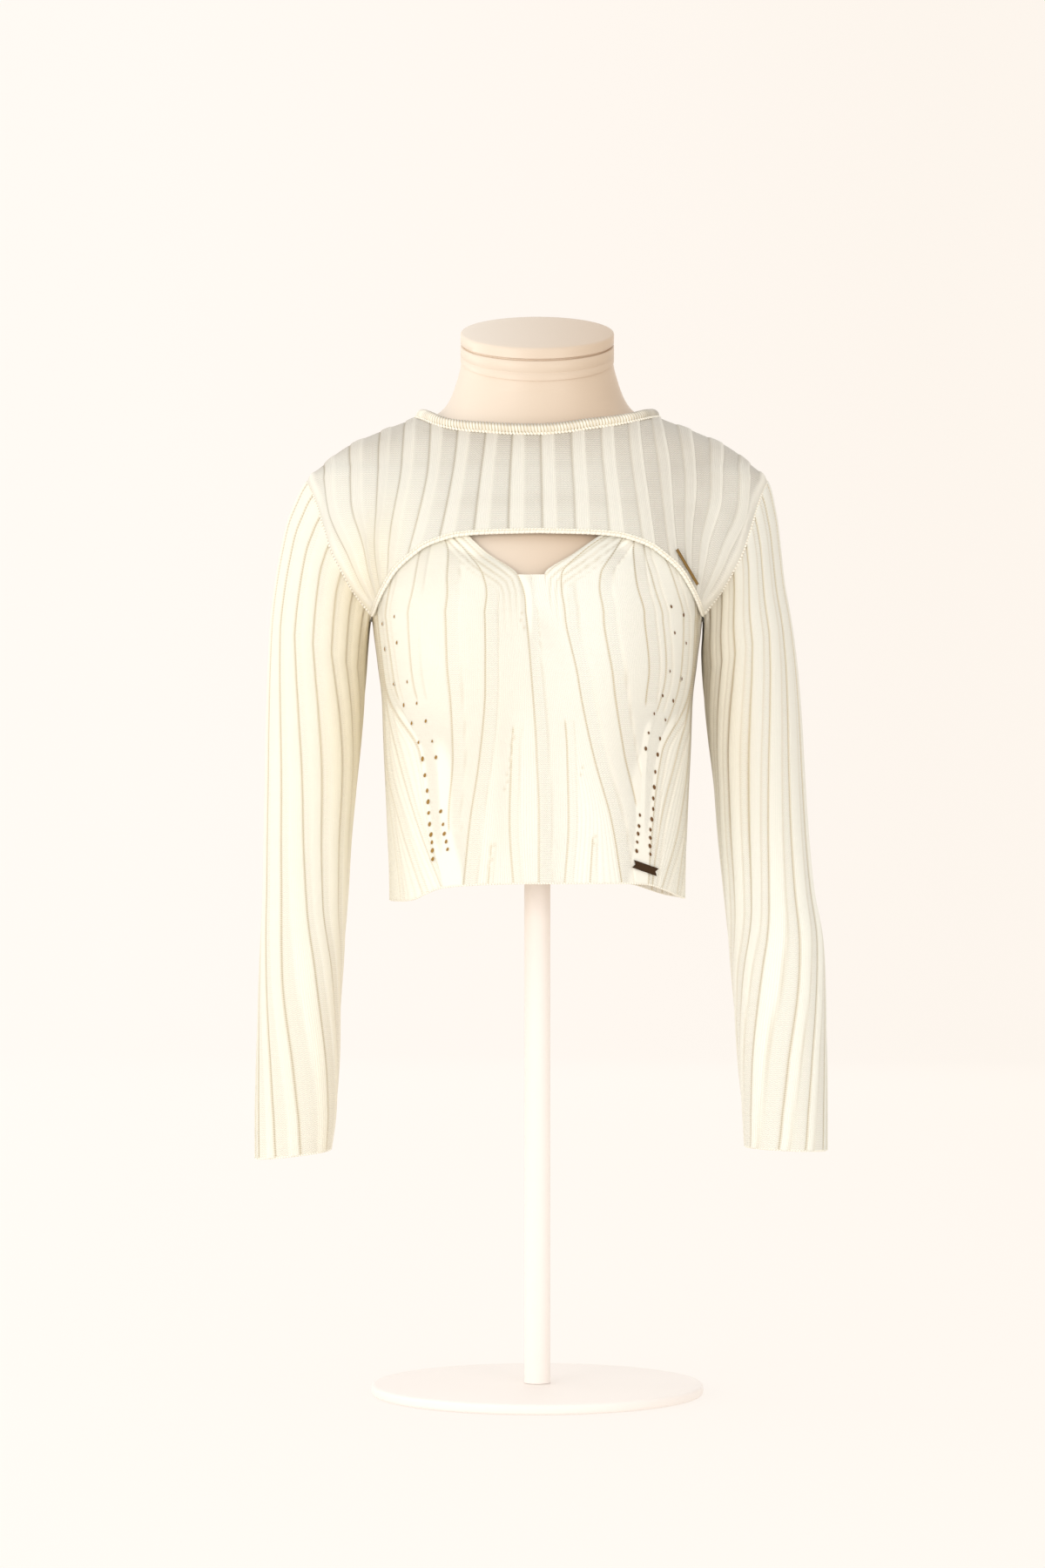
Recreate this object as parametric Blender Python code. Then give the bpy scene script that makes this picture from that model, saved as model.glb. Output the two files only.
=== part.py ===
"""Layered knit crop top on a limbless dress form with a pole and a round base.

Millimetres throughout, turned to metres where a mesh is made. +Z is up, the front faces -Y, and the
origin is on the floor, at the middle of the round base.

Every piece of cloth is a wall on one shared surface, the skin. The skin is a stack of level sections,
each half of a squared ellipse in front and another behind, and its sides widen above the underarm to
carry the shoulders. The inner top, the yoke over it and its piped edge lie at their own distances out
from the skin, and the dress form lies just inside it.
"""

import math

import bpy
import numpy as np

MM = 0.001

# ---- driving sizes -------------------------------------------------------------------------------
KNIT_WALL = 2.0
TOP_INNER = 1.5          # distances out from the skin
TOP_OUTER = TOP_INNER + KNIT_WALL
LAYER_GAP = 0.9          # between the inner top and the yoke that lies on it
YOKE_INNER = TOP_OUTER + LAYER_GAP
YOKE_OUTER = YOKE_INNER + KNIT_WALL
FORM_INSET = 1.0         # the dress form stays this far inside the skin
SEAM_GAP = 0.3
ARMHOLE_GAP = 0.5

COLLAR_RADIUS = 3.6
COLLAR_SIDES = 8
COLLAR_GAP = 0.4         # between the collar and the neckline under it
EDGE_WIDTH = 4.5         # the piped edge, down the cloth and through it
EDGE_THICKNESS = 3.6
EDGE_LIFT = 6.4
EDGE_SIDES = 6

HEM_PLATE = {"length": 26.0, "width": 6.5, "thick": 0.8, "notch": 2.6, "tilt": -14.0}
HEM_PLATE_AT = (87.0, 445.0)
YOKE_PLATE = {"length": 35.0, "width": 3.6, "thick": 0.9, "notch": 0.8, "tilt": -57.0}
YOKE_PLATE_AT = (120.5, 693.5)
PLATE_LIFT = 0.9         # room for the raised ribs under a plate

FORM_BOTTOM = 446.0
NECK_TILT = 20.6
NECK_TOP = 872.0
CAP_GAP = 0.5
# The neck cap: how far in its side stands at each height above its foot, with a groove at the foot.
CAP_PROFILE = [(0.0, 2.6), (1.8, 2.6), (2.2, 0.4), (18.5, 0.0), (19.6, 0.6), (20.0, 1.9)]
SHOULDER_CAP_INSET = 3.0
SHOULDER_CAP_TOP = 780.7

BASE_RADIUS = 140.0
BASE_HEIGHT = 9.0
BASE_ROUNDING = 3.0
BASE_SIDES = 48
POLE_RADIUS = 11.0
POLE_SIDES = 20


def table(columns, rows):
    """A short table with named columns, as a dictionary of arrays."""
    return dict(zip(columns.split(), np.array(rows, float).T))


# The skin, one row for each level section: half width, depth in front of and behind centre_y, and the
# exponent that squares the ellipse.
SKIN = table(
    "z half_width front back centre_y square",
    [
        (400, 121.0, 84.0, 76.0, 2.0, 2.30),
        (440, 121.5, 85.0, 77.0, 2.0, 2.30),
        (475, 123.0, 88.0, 80.0, 2.0, 2.30),
        (510, 124.5, 93.0, 84.0, 3.0, 2.30),
        (550, 126.3, 99.0, 90.0, 3.0, 2.35),
        (585, 127.5, 104.5, 95.0, 4.0, 2.45),
        (615, 131.0, 107.0, 98.0, 4.0, 2.60),
        (640, 134.3, 107.0, 100.0, 5.0, 2.75),
        (655, 136.3, 106.0, 101.0, 5.0, 2.80),
        (661, 139.5, 105.5, 101.5, 5.0, 2.75),
        (670, 148.5, 104.0, 102.0, 5.0, 2.60),
        (678, 158.0, 102.0, 102.5, 5.0, 2.50),
        (694, 176.0, 98.0, 103.0, 5.0, 2.40),
        (708, 186.0, 93.5, 103.0, 5.0, 2.35),
        (729, 191.5, 86.0, 101.5, 5.5, 2.30),
        (751, 190.0, 78.0, 97.0, 6.0, 2.30),
        (768.7, 188.1, 71.0, 92.0, 7.0, 2.20),
        (780, 176.7, 67.5, 87.5, 8.0, 2.10),
        (794, 158.9, 64.5, 82.0, 8.0, 2.05),
        (807, 130.4, 62.0, 76.5, 8.0, 2.00),
        (818.5, 101.0, 61.0, 72.0, 8.0, 2.00),
        (825, 88.5, 60.5, 69.5, 8.0, 2.00),
        (833, 79.0, 60.0, 67.0, 8.0, 2.00),
        (845, 72.5, 59.5, 64.0, 8.0, 2.00),
        (857, 68.5, 59.0, 62.0, 7.5, 2.00),
        (866, 66.0, 58.5, 60.5, 7.0, 2.00),
        (872, 65.0, 58.0, 59.5, 6.5, 2.00),
    ],
)
# The bust: a soft rise on each side of the front.
CUP = {"x": 70.0, "z": 606.0, "rise": 13.0, "half_width": 42.0, "half_height": 50.0}

# The armhole seam on the skin, seen from the front, from the shoulder point to the underarm.
ARMHOLE = table(
    "z x",
    [(661, 134.5), (678, 148.5), (694.5, 158.8), (708, 166.6), (729, 174.3), (751, 181.0), (768.7, 188.1)],
)
SHOULDER_Z = 768.7
ARM_FRONT_Z = 661.0
UNDERARM_Z = 654.0
NECK_SIDE_Z = 818.5

# The neckline's height on the skin. It sits a little lower on the left than on the right.
NECK_FRONT = table(
    "x z",
    [(-101, 818.5), (-95, 815.6), (-84, 811), (-66, 807.6), (-43, 806), (-21, 804.8), (0, 804.6), (20, 806),
     (40, 808.8), (62.5, 811), (82, 814), (94, 816.7), (101, 818.5)],
)
NECK_BACK = table(
    "x z",
    [(-101, 818.5), (-92, 816), (-70, 813), (-40, 811.4), (0, 811), (40, 811.4), (70, 813), (92, 816),
     (101, 818.5)],
)
NECK_HALF_WIDTH = 101.0
NECK_COLUMNS = 10        # columns from the middle of the yoke to the side of the neck
NECK_CROWDING = 0.714    # under 1 draws those columns out towards the middle, away from the side
SHOULDER_COLUMNS = [115.0, 132.0, 150.0, 170.0, 188.1]
YOKE_ROWS = 9
YOKE_ROW_CROWDING = 1.6  # over 1 draws the rows up towards the neck and shoulders
# How the knit runs: where a column that starts at top_x ends on the arched edge.
RIB_RUN = table(
    "top_x bottom_x",
    [(0, 0), (21, 25), (43, 53), (66, 80), (89, 104), (101, 115), (129, 125), (155, 130), (188.1, 134.5)],
)
ARCH_FRONT = table(
    "x z",
    [(0, 723.5), (48.5, 722), (68, 720), (79.5, 717), (94.5, 711), (103, 705), (113.5, 696.5), (120, 689.5),
     (125, 681.5), (131, 669.5), (134.5, 661)],
)
ARCH_BACK = table(
    "x z",
    [(0, 706), (40, 704.5), (70, 700), (95, 692), (112, 683), (124, 674), (131, 667), (134.5, 661)],
)

# The inner top's upper edges: its V neckline in front, and where it runs on under the arched edge.
TOP_EDGE_FRONT = table(
    "x z",
    [
        (-136.3, 651), (-135.6, 653.5), (-134, 657), (-131.5, 664), (-128, 672.5), (-123.5, 683), (-118, 693),
        (-111, 702), (-103, 710), (-94.5, 716.5), (-84, 721.5), (-73, 726), (-63, 725), (-55, 716.6),
        (-43, 705), (-30.5, 692.7), (-22, 688), (-14.6, 686.4), (-4.5, 686), (5.8, 686.4), (14.6, 692.2),
        (23, 698.5), (32, 704.9), (40.5, 711), (49, 717.1), (60, 725), (73, 726), (84, 721.5), (94.5, 716.5),
        (103, 710), (111, 702), (118, 693), (123.5, 683), (128, 672.5), (131.5, 664), (134, 657),
        (135.6, 653.5), (136.3, 651),
    ],
)
TOP_EDGE_BACK = table(
    "x z",
    [
        (-136.3, 651), (-135.6, 653.5), (-134, 657), (-131, 663), (-124, 673.5), (-112, 685), (-95, 696.5),
        (-78, 704.5), (-58, 709.5), (-40, 712), (-20, 713), (0, 713.5), (20, 713), (40, 712), (58, 709.5),
        (78, 704.5), (95, 696.5), (112, 685), (124, 673.5), (131, 663), (134, 657), (135.6, 653.5),
        (136.3, 651),
    ],
)
TOP_SPAN = 136.3
HEM_FRONT = table(
    "x z",
    [(-136.3, 417), (-112, 417), (-101, 418.5), (-92, 423), (-78, 428.5), (-45, 431.5), (0, 432.5),
     (60, 432.5), (88, 431.5), (104, 426.5), (122, 418.5), (136.3, 417)],
)
HEM_BACK = table(
    "x z",
    [(-136.3, 417), (-110, 420), (-80, 429), (-45, 435), (0, 437), (45, 435), (80, 429), (110, 420),
     (136.3, 417)],
)
TOP_ROWS = 11

# Each sleeve, a row for each ring below the armhole: its outer and inner points as seen from the front,
# measured out from the middle of the body, and its front and back.
SLEEVE_COLUMNS = "outer_x outer_z inner_x inner_z front_y back_y"
SLEEVE_LEFT = table(
    SLEEVE_COLUMNS,
    [
        (203.0, 757, 141.6, 650.5, -55.0, 62.0),
        (211.0, 737, 142.0, 645, -56.5, 63.0),
        (216.5, 713, 142.6, 637, -56.5, 62.5),
        (221.5, 684, 143.4, 626, -55.0, 61.0),
        (225.2, 652, 144.4, 610, -53.0, 58.5),
        (227.5, 612, 145.8, 588, -50.5, 55.5),
        (229.0, 568, 148.5, 556, -47.5, 52.0),
        (230.0, 520, 152.2, 516, -45.0, 48.0),
        (231.0, 470, 156.8, 470, -44.0, 43.0),
        (231.8, 425, 159.5, 425, -45.0, 38.0),
        (233.5, 378, 162.5, 378, -48.0, 32.0),
        (235.0, 330, 165.3, 330, -51.5, 25.0),
        (236.3, 280, 166.5, 280, -54.5, 18.0),
        (237.0, 235, 169.0, 237, -56.5, 12.0),
        (237.0, 201, 173.0, 208, -57.5, 8.0),
    ],
)
SLEEVE_RIGHT = table(
    SLEEVE_COLUMNS,
    [
        (199.5, 757, 140.9, 650.5, -55.0, 62.0),
        (203.2, 737, 140.4, 645, -56.5, 63.0),
        (205.8, 713, 139.8, 637, -56.5, 62.5),
        (209.0, 684, 139.0, 626, -55.0, 61.0),
        (214.2, 654, 139.4, 610, -53.0, 58.5),
        (219.5, 615, 140.8, 588, -50.5, 55.5),
        (223.3, 570, 144.2, 556, -47.5, 52.0),
        (226.2, 520, 148.8, 516, -45.0, 48.0),
        (229.5, 470, 152.6, 470, -44.0, 43.0),
        (234.0, 425, 157.2, 425, -45.0, 38.0),
        (240.6, 385, 161.2, 381, -48.0, 32.0),
        (242.6, 335, 164.8, 335, -51.5, 25.0),
        (243.3, 285, 168.2, 285, -54.5, 18.0),
        (243.3, 240, 171.8, 240, -56.5, 12.0),
        (243.3, 208, 173.8, 211, -57.5, 8.0),
    ],
)
SLEEVE_SQUARE = 2.15
UNDERARM_STEPS = 4       # points of the armhole that lie under the arm, from the front seam to the back
UNDERARM_REACH = 0.92    # how far forward and back those points go, as a share of the seam's depth
ARMHOLE_BLEND = 5        # rings over which the armhole's shape turns into the sleeve's own
SLEEVE_LEAN = math.radians(-23)  # the way a sleeve leaves its armhole, below level

# The largest folds, as soft ridges on the yoke's front where the cloth gathers towards each armpit:
# both ends, height and half width.
YOKE_FOLDS = [
    {"from": (-152, 752), "to": (-131, 674), "height": 3.0, "half_width": 9.0},
    {"from": (-128, 738), "to": (-119, 696), "height": 1.8, "half_width": 7.0},
    {"from": (158, 756), "to": (134, 680), "height": 2.4, "half_width": 9.0},
]

# ---- colours, linear -----------------------------------------------------------------------------
CREAM_KNIT = (0.90, 0.85, 0.72)
CREAM_EDGE = (0.92, 0.88, 0.76)
FORM_BEIGE = (0.76, 0.62, 0.48)
STAND_WHITE = (0.88, 0.84, 0.79)
DARK_BRONZE = (0.10, 0.06, 0.03)
OLD_GOLD = (0.45, 0.30, 0.12)


# ---- the skin ------------------------------------------------------------------------------------
def smooth(xs, ys, at):
    """A monotone cubic through a table's rows, so no value overshoots the rows beside it."""
    step = np.diff(xs)
    slope = np.diff(ys) / step
    tangent = np.zeros(len(xs))
    tangent[0] = slope[0]
    tangent[-1] = slope[-1]
    for i in range(1, len(xs) - 1):
        before, after = slope[i - 1], slope[i]
        if before * after > 0:
            near = 2 * step[i] + step[i - 1]
            far = step[i] + 2 * step[i - 1]
            tangent[i] = (near + far) / (near / before + far / after)
    at = np.clip(at, xs[0], xs[-1])
    i = np.clip(np.searchsorted(xs, at) - 1, 0, len(step) - 1)
    t = (at - xs[i]) / step[i]
    return (
        ys[i] * (1 + 2 * t) * (1 - t) ** 2
        + ys[i + 1] * t * t * (3 - 2 * t)
        + step[i] * (tangent[i] * t * (1 - t) ** 2 - tangent[i + 1] * t * t * (1 - t))
    )


def curve(rows, at, key="x", value="z"):
    return smooth(rows[key], rows[value], np.asarray(at, float))


def section(z):
    return [curve(SKIN, z, "z", name) for name in ("half_width", "front", "back", "centre_y", "square")]


def cup_rise(x, z):
    across = (np.abs(x) - CUP["x"]) / CUP["half_width"]
    upward = (z - CUP["z"]) / CUP["half_height"]
    return CUP["rise"] * np.exp(-(across**2 + upward**2) / 2)


def skin_y(x, z, facing):
    """The skin's depth at (x, z): facing is -1 for the front and +1 for the back."""
    half_width, front, back, centre_y, square = section(z)
    share = np.clip(np.abs(x) / half_width, 0, 1)
    depth = np.where(facing < 0, front, back) * (1 - share**square) ** (1 / square)
    swell = np.where(facing < 0, cup_rise(x, z) * (1 - share**6), 0)
    return centre_y + facing * (depth + swell)


def level(points):
    """1 on the skin, less inside it and more outside."""
    x, y, z = np.moveaxis(points, -1, 0)
    half_width, front, back, centre_y, square = section(z)
    share = np.abs(x) / half_width
    ahead = y < centre_y
    swell = np.where(ahead, cup_rise(x, z) * np.clip(1 - share**6, 0, 1), 0)
    depth = np.where(ahead, front, back) + swell
    return share**square + (np.abs(y - centre_y) / depth) ** square


def outward(points, step=0.4):
    """Unit normals of the skin, by central differences."""
    shifts = np.eye(3) * step
    slope = np.stack([level(points + shift) - level(points - shift) for shift in shifts], axis=-1)
    return slope / np.linalg.norm(slope, axis=-1, keepdims=True)


def fold_height(x, z, folds):
    """How far soft folds lift the cloth at (x, z)."""
    height = np.zeros(np.shape(x))
    for fold in folds:
        start, end = np.array(fold["from"], float), np.array(fold["to"], float)
        run = end - start
        length = np.linalg.norm(run)
        along = ((x - start[0]) * run[0] + (z - start[1]) * run[1]) / length**2
        across = ((x - start[0]) * run[1] - (z - start[1]) * run[0]) / length
        ends = np.clip(along * 4, 0, 1) * np.clip((1 - along) * 4, 0, 1)
        height += fold["height"] * ends * np.exp(-((across / fold["half_width"]) ** 2))
    return height


def unit(vectors):
    return vectors / np.linalg.norm(vectors, axis=-1, keepdims=True)


# ---- meshes --------------------------------------------------------------------------------------
def material(name, colour, roughness, metallic=0.0):
    made = bpy.data.materials.new(name)
    made.use_nodes = True
    shader = made.node_tree.nodes["Principled BSDF"]
    shader.inputs["Base Color"].default_value = (*colour, 1)
    shader.inputs["Roughness"].default_value = roughness
    shader.inputs["Metallic"].default_value = metallic
    return made


def solid(name, points, faces, finish, smooth_shaded=True):
    """One named object from points in millimetres."""
    mesh = bpy.data.meshes.new(name)
    mesh.from_pydata([tuple(point) for point in np.asarray(points) * MM], [], faces)
    mesh.validate()
    made = bpy.data.objects.new(name, mesh)
    bpy.context.scene.collection.objects.link(made)
    mesh.materials.append(finish)
    if smooth_shaded:
        mesh.shade_smooth()
        mesh.set_sharp_from_angle(angle=math.radians(40))
    return made


def cells(rows, columns, ring, start=0):
    """Triangles between neighbouring rows and columns of a grid of points, all split the same way."""
    faces = []
    for r in range(rows - 1):
        for c in range(columns if ring else columns - 1):
            a, b = start + r * columns + c, start + r * columns + (c + 1) % columns
            d, e = a + columns, b + columns
            faces += [(a, b, e), (a, e, d)]
    return faces


def wall(name, outer, inner, finish, ring=False):
    """A closed wall between two grids of points, turned so that its faces point out of the cloth."""
    rows, columns = outer.shape[:2]
    count = rows * columns
    face_list = cells(rows, columns, ring)
    face_list += [(c, b, a) for a, b, c in cells(rows, columns, ring, start=count)]
    border = [[(0, c) for c in range(columns)], [(rows - 1, c) for c in range(columns)][::-1]]
    if ring:
        loops = [border[0] + [(0, 0)], [(rows - 1, 0)] + border[1]]
    else:
        right = [(r, columns - 1) for r in range(rows)]
        left = [(r, 0) for r in range(rows)][::-1]
        loops = [border[0][:-1] + right[:-1] + border[1][:-1] + left]
    for loop in loops:
        for (r0, c0), (r1, c1) in zip(loop, loop[1:]):
            a, b = r0 * columns + c0, r1 * columns + c1
            face_list += [(b, a, a + count), (b, a + count, b + count)]
    points = np.concatenate([outer.reshape(-1, 3), inner.reshape(-1, 3)])
    made = solid(name, points, face_list, finish)
    if signed_volume(points, face_list) < 0:
        made.data.flip_normals()
    return made


def signed_volume(points, faces):
    corners = np.asarray(points)[np.array([face[:3] for face in faces])]
    return float(np.linalg.det(corners).sum())


def stack(name, rings, finish, closed_path=False):
    """A solid through rings of points. Its ends are flat faces, or it closes on itself."""
    count, columns = rings.shape[:2]
    face_list = cells(count, columns, ring=True)
    if closed_path:
        last = (count - 1) * columns
        for c in range(columns):
            d = (c + 1) % columns
            face_list += [(last + c, last + d, d), (last + c, d, c)]
    points = rings.reshape(-1, 3)
    if signed_volume(points - points.mean(axis=0), face_list) < 0:
        face_list = [face[::-1] for face in face_list]
    turned = face_list[0][0] > face_list[0][1]
    if not closed_path:
        bottom = list(range(columns))[::-1]
        top = list(range((count - 1) * columns, count * columns))
        face_list += [bottom[::-1], top[::-1]] if turned else [bottom, top]
    return solid(name, points, face_list, finish)


# ---- the yoke ------------------------------------------------------------------------------------
def ridge_z(x):
    """The height of the shoulder ridge at x: where the skin's section is just |x| wide."""
    heights = np.linspace(SHOULDER_Z, NECK_SIDE_Z, 200)
    widths = curve(SKIN, heights, "z", "half_width")
    return np.interp(np.abs(x), widths[::-1], heights[::-1])


def yoke_skin(facing, neck, arch):
    """The yoke's grid on the skin, rows from the neck and shoulders down to the arched edge."""
    turn = np.linspace(0, math.pi / 2, NECK_COLUMNS + 1)
    neck_x = NECK_HALF_WIDTH * np.sin(turn) ** NECK_CROWDING
    half_x = np.concatenate([neck_x, SHOULDER_COLUMNS])
    top_x = np.concatenate([-half_x[:0:-1], half_x])
    bottom_x = np.sign(top_x) * curve(RIB_RUN, np.abs(top_x), "top_x", "bottom_x")
    top_z = np.where(np.abs(top_x) < NECK_HALF_WIDTH, curve(neck, top_x), ridge_z(top_x))
    bottom_z = curve(arch, np.abs(bottom_x))
    down = np.linspace(0, 1, YOKE_ROWS + 1)[:, None] ** YOKE_ROW_CROWDING
    x = top_x + (bottom_x - top_x) * down
    z = top_z + (bottom_z - top_z) * down
    # The outermost column is the armhole seam itself, and its bow fades into the columns beside it.
    seam_z = SHOULDER_Z + (ARM_FRONT_Z - SHOULDER_Z) * down
    seam_bow = curve(ARMHOLE, seam_z, "z", "x") - (top_x[-1] + (bottom_x[-1] - top_x[-1]) * down)
    beside = np.clip((np.abs(top_x) - half_x[NECK_COLUMNS]) / (half_x[-1] - half_x[NECK_COLUMNS]), 0, 1)
    x = x + seam_bow * np.sign(top_x) * beside**1.5
    y = skin_y(x, z, facing)
    centre_y = curve(SKIN, z, "z", "centre_y")
    y = centre_y + facing * np.maximum(np.abs(y - centre_y), SEAM_GAP / 2)
    return np.stack([x, y, z], axis=-1)


def laid_out(skin, inner, outer, folds=()):
    """The outer and inner faces of cloth that lies between two distances out from the skin."""
    normal = outward(skin)
    lifted = fold_height(skin[..., 0], skin[..., 2], folds)[..., None]
    return skin + normal * (outer + lifted), skin + normal * (inner + lifted)


# ---- the inner top -------------------------------------------------------------------------------
def top_skin(facing, edge, hem):
    """The inner top's grid on the skin, rows from its hem to its upper edge, a column for each point
    of that edge."""
    share = edge["x"] / TOP_SPAN
    low, high = curve(hem, edge["x"]), edge["z"]
    up = np.linspace(0, 1, TOP_ROWS + 1)[:, None]
    z = low + (high - low) * up
    x = share * np.minimum(curve(SKIN, z, "z", "half_width"), TOP_SPAN)
    y = skin_y(x, z, facing)
    centre_y = curve(SKIN, z, "z", "centre_y")
    y = centre_y + facing * np.maximum(np.abs(y - centre_y), SEAM_GAP / 2)
    return np.stack([x, y, z], axis=-1)


# ---- the sleeves ---------------------------------------------------------------------------------
def armhole_loop(side, front, back):
    """The yoke's outer armhole edge, from the shoulder point down the front, under the arm and up the
    back, with its own part under the arm."""
    column = -1 if side > 0 else 0
    front_edge, back_edge = front[:, column], back[:, column]
    z = ARM_FRONT_Z + (UNDERARM_Z - ARM_FRONT_Z) * np.sin(np.linspace(0, math.pi, UNDERARM_STEPS + 1)[1:-1])
    half_width, ahead, behind, centre_y, square = section(z)
    spread = np.linspace(1, -1, UNDERARM_STEPS + 1)[1:-1]
    reach = np.abs(front_edge[-1, 1] - centre_y) * UNDERARM_REACH
    y = centre_y - spread * reach
    depth = np.where(spread > 0, ahead, behind)
    x = side * half_width * (1 - (np.abs(y - centre_y) / depth) ** square) ** (1 / square)
    under = np.stack([x, y, z], axis=-1)
    under = under + outward(under) * (YOKE_INNER + SEAM_GAP)
    return np.concatenate([front_edge, under, back_edge[::-1][:-1]])


def sleeve_rings(side, sections, loop):
    """The sleeve's outer rings, the first on the armhole and the rest on its table.

    A column keeps the share of the way from the inner to the outer point that it has on the armhole.
    """
    lean = np.array([side * math.cos(SLEEVE_LEAN), 0.0, math.sin(SLEEVE_LEAN)])
    first = loop + lean * ARMHOLE_GAP
    inner, outer = first[np.argmin(first[:, 2])], first[np.argmax(first[:, 2])]
    run = (outer - inner) * (1, 0, 1)
    share = np.clip((first - inner) @ run / (run @ run), 0, 1)
    through = (1 - np.abs(2 * share - 1) ** SLEEVE_SQUARE) ** (1 / SLEEVE_SQUARE)
    ahead = np.arange(len(first)) < YOKE_ROWS + (UNDERARM_STEPS + 1) / 2
    through = np.where(ahead, -through, through)
    bow = (first - inner - share[:, None] * run) * (1, 0, 1)
    rings = [first]
    for i in range(len(sections["outer_x"])):
        row = {name: values[i] for name, values in sections.items()}
        x = side * (row["inner_x"] + (row["outer_x"] - row["inner_x"]) * share)
        z = row["inner_z"] + (row["outer_z"] - row["inner_z"]) * share
        y = (row["front_y"] + row["back_y"]) / 2 + (row["back_y"] - row["front_y"]) / 2 * through
        own = min((i + 1) / ARMHOLE_BLEND, 1.0)
        ring = np.stack([x, first[:, 1] * (1 - own) + y * own, z], axis=-1)
        rings.append(ring + bow * (1 - own))
    return np.array(rings)


def grid_normals(grid):
    """Unit normals of a grid that closes on itself along its second axis, pointing out of the tube."""
    down = np.gradient(grid, axis=0)
    around = (np.roll(grid, -1, axis=1) - np.roll(grid, 1, axis=1)) / 2
    normal = unit(np.cross(down, around))
    centre = grid.mean(axis=1, keepdims=True)
    turned = np.sign(np.sum(normal * (grid - centre)))
    return normal * turned


# ---- tubes along an edge -------------------------------------------------------------------------
def edge_tube(path, out, across, half_out, half_across, sides):
    """Rings round a path: out and across are unit vectors at each of its points."""
    angles = np.linspace(0, 2 * math.pi, sides, endpoint=False)
    swing = np.cos(angles)[None, :, None] * out[:, None] * half_out
    sway = np.sin(angles)[None, :, None] * across[:, None] * half_across
    return path[:, None] + swing + sway


def in_cloth(points, away_from, closed):
    """Unit vectors in the cloth, square to an edge and pointing away from a neighbouring row."""
    if closed:
        along = unit(np.roll(points, -1, axis=0) - np.roll(points, 1, axis=0))
    else:
        along = unit(np.gradient(points, axis=0))
    normal = outward(points)
    square = unit(np.cross(normal, along))
    side = np.sign(np.sum(square * (points - away_from), axis=-1, keepdims=True))
    return normal, square * side


def piped_edge(name, grid, finish):
    """The piped edge under one arch, on the yoke's last row of skin points."""
    edge, above = grid[-1, 1:-1], grid[-2, 1:-1]
    normal, down = in_cloth(edge, above, closed=False)
    path = edge + normal * EDGE_LIFT + down * (SEAM_GAP + EDGE_WIDTH / 2)
    rings = edge_tube(path, normal, down, EDGE_THICKNESS / 2, EDGE_WIDTH / 2, EDGE_SIDES)
    return stack(name, rings, finish)


def collar(front, back, finish):
    """The rolled neck edge, one ring round both necklines."""
    middle = NECK_COLUMNS + len(SHOULDER_COLUMNS)
    neck = slice(middle - NECK_COLUMNS, middle + NECK_COLUMNS + 1)
    edge = np.concatenate([front[0, neck], back[0, neck][::-1][1:-1]])
    below = np.concatenate([front[1, neck], back[1, neck][::-1][1:-1]])
    normal, up = in_cloth(edge, below, closed=True)
    path = edge + normal * (YOKE_INNER + YOKE_OUTER) / 2 + up * (COLLAR_RADIUS + COLLAR_GAP)
    rings = edge_tube(path, normal, up, COLLAR_RADIUS, COLLAR_RADIUS, COLLAR_SIDES)
    return stack("neck_collar", rings, finish, closed_path=True)


# ---- plates --------------------------------------------------------------------------------------
def plate(name, at, size, lift, finish):
    """A flat metal plate laid on the front, its ends notched like a swallow's tail."""
    x, z = at
    base = np.array([x, float(skin_y(x, z, -1)), z])
    normal = outward(base[None])[0]
    level_way = unit(np.cross(np.array([0.0, 0.0, 1.0]), normal))
    if level_way[0] < 0:
        level_way = -level_way
    upright = unit(np.cross(normal, level_way))
    if upright[2] < 0:
        upright = -upright
    tilt = math.radians(size["tilt"])
    along = level_way * math.cos(tilt) + upright * math.sin(tilt)
    across = -level_way * math.sin(tilt) + upright * math.cos(tilt)
    half, wide, notch = size["length"] / 2, size["width"] / 2, size["notch"]
    outline = [
        (-half, -wide), (half, -wide), (half - notch, 0), (half, wide), (-half, wide), (-half + notch, 0),
    ]
    rings = [
        [base + normal * (lift + height) + along * a + across * b for a, b in outline]
        for height in (0, size["thick"])
    ]
    return stack(name, np.array(rings), finish)


# ---- the dress form and its stand ----------------------------------------------------------------
FORM_LEVELS = [446, 475, 510, 550, 585, 615, 640, 655, 662, 670, 680, 691, 708, 729, 751, 764, 772, 780, 787,
               794, 800.5, 807, 813, 818.5, 825, 833]
ARMPIT_EASE = {"z": 680.0, "inset": 2.0, "half_height": 20.0}
NECK_RINGS = table("z tilt", [(845, 5.0), (857, 12.5), (866, 18.0), (872, NECK_TILT)])
FORM_SIDES = 40


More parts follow.
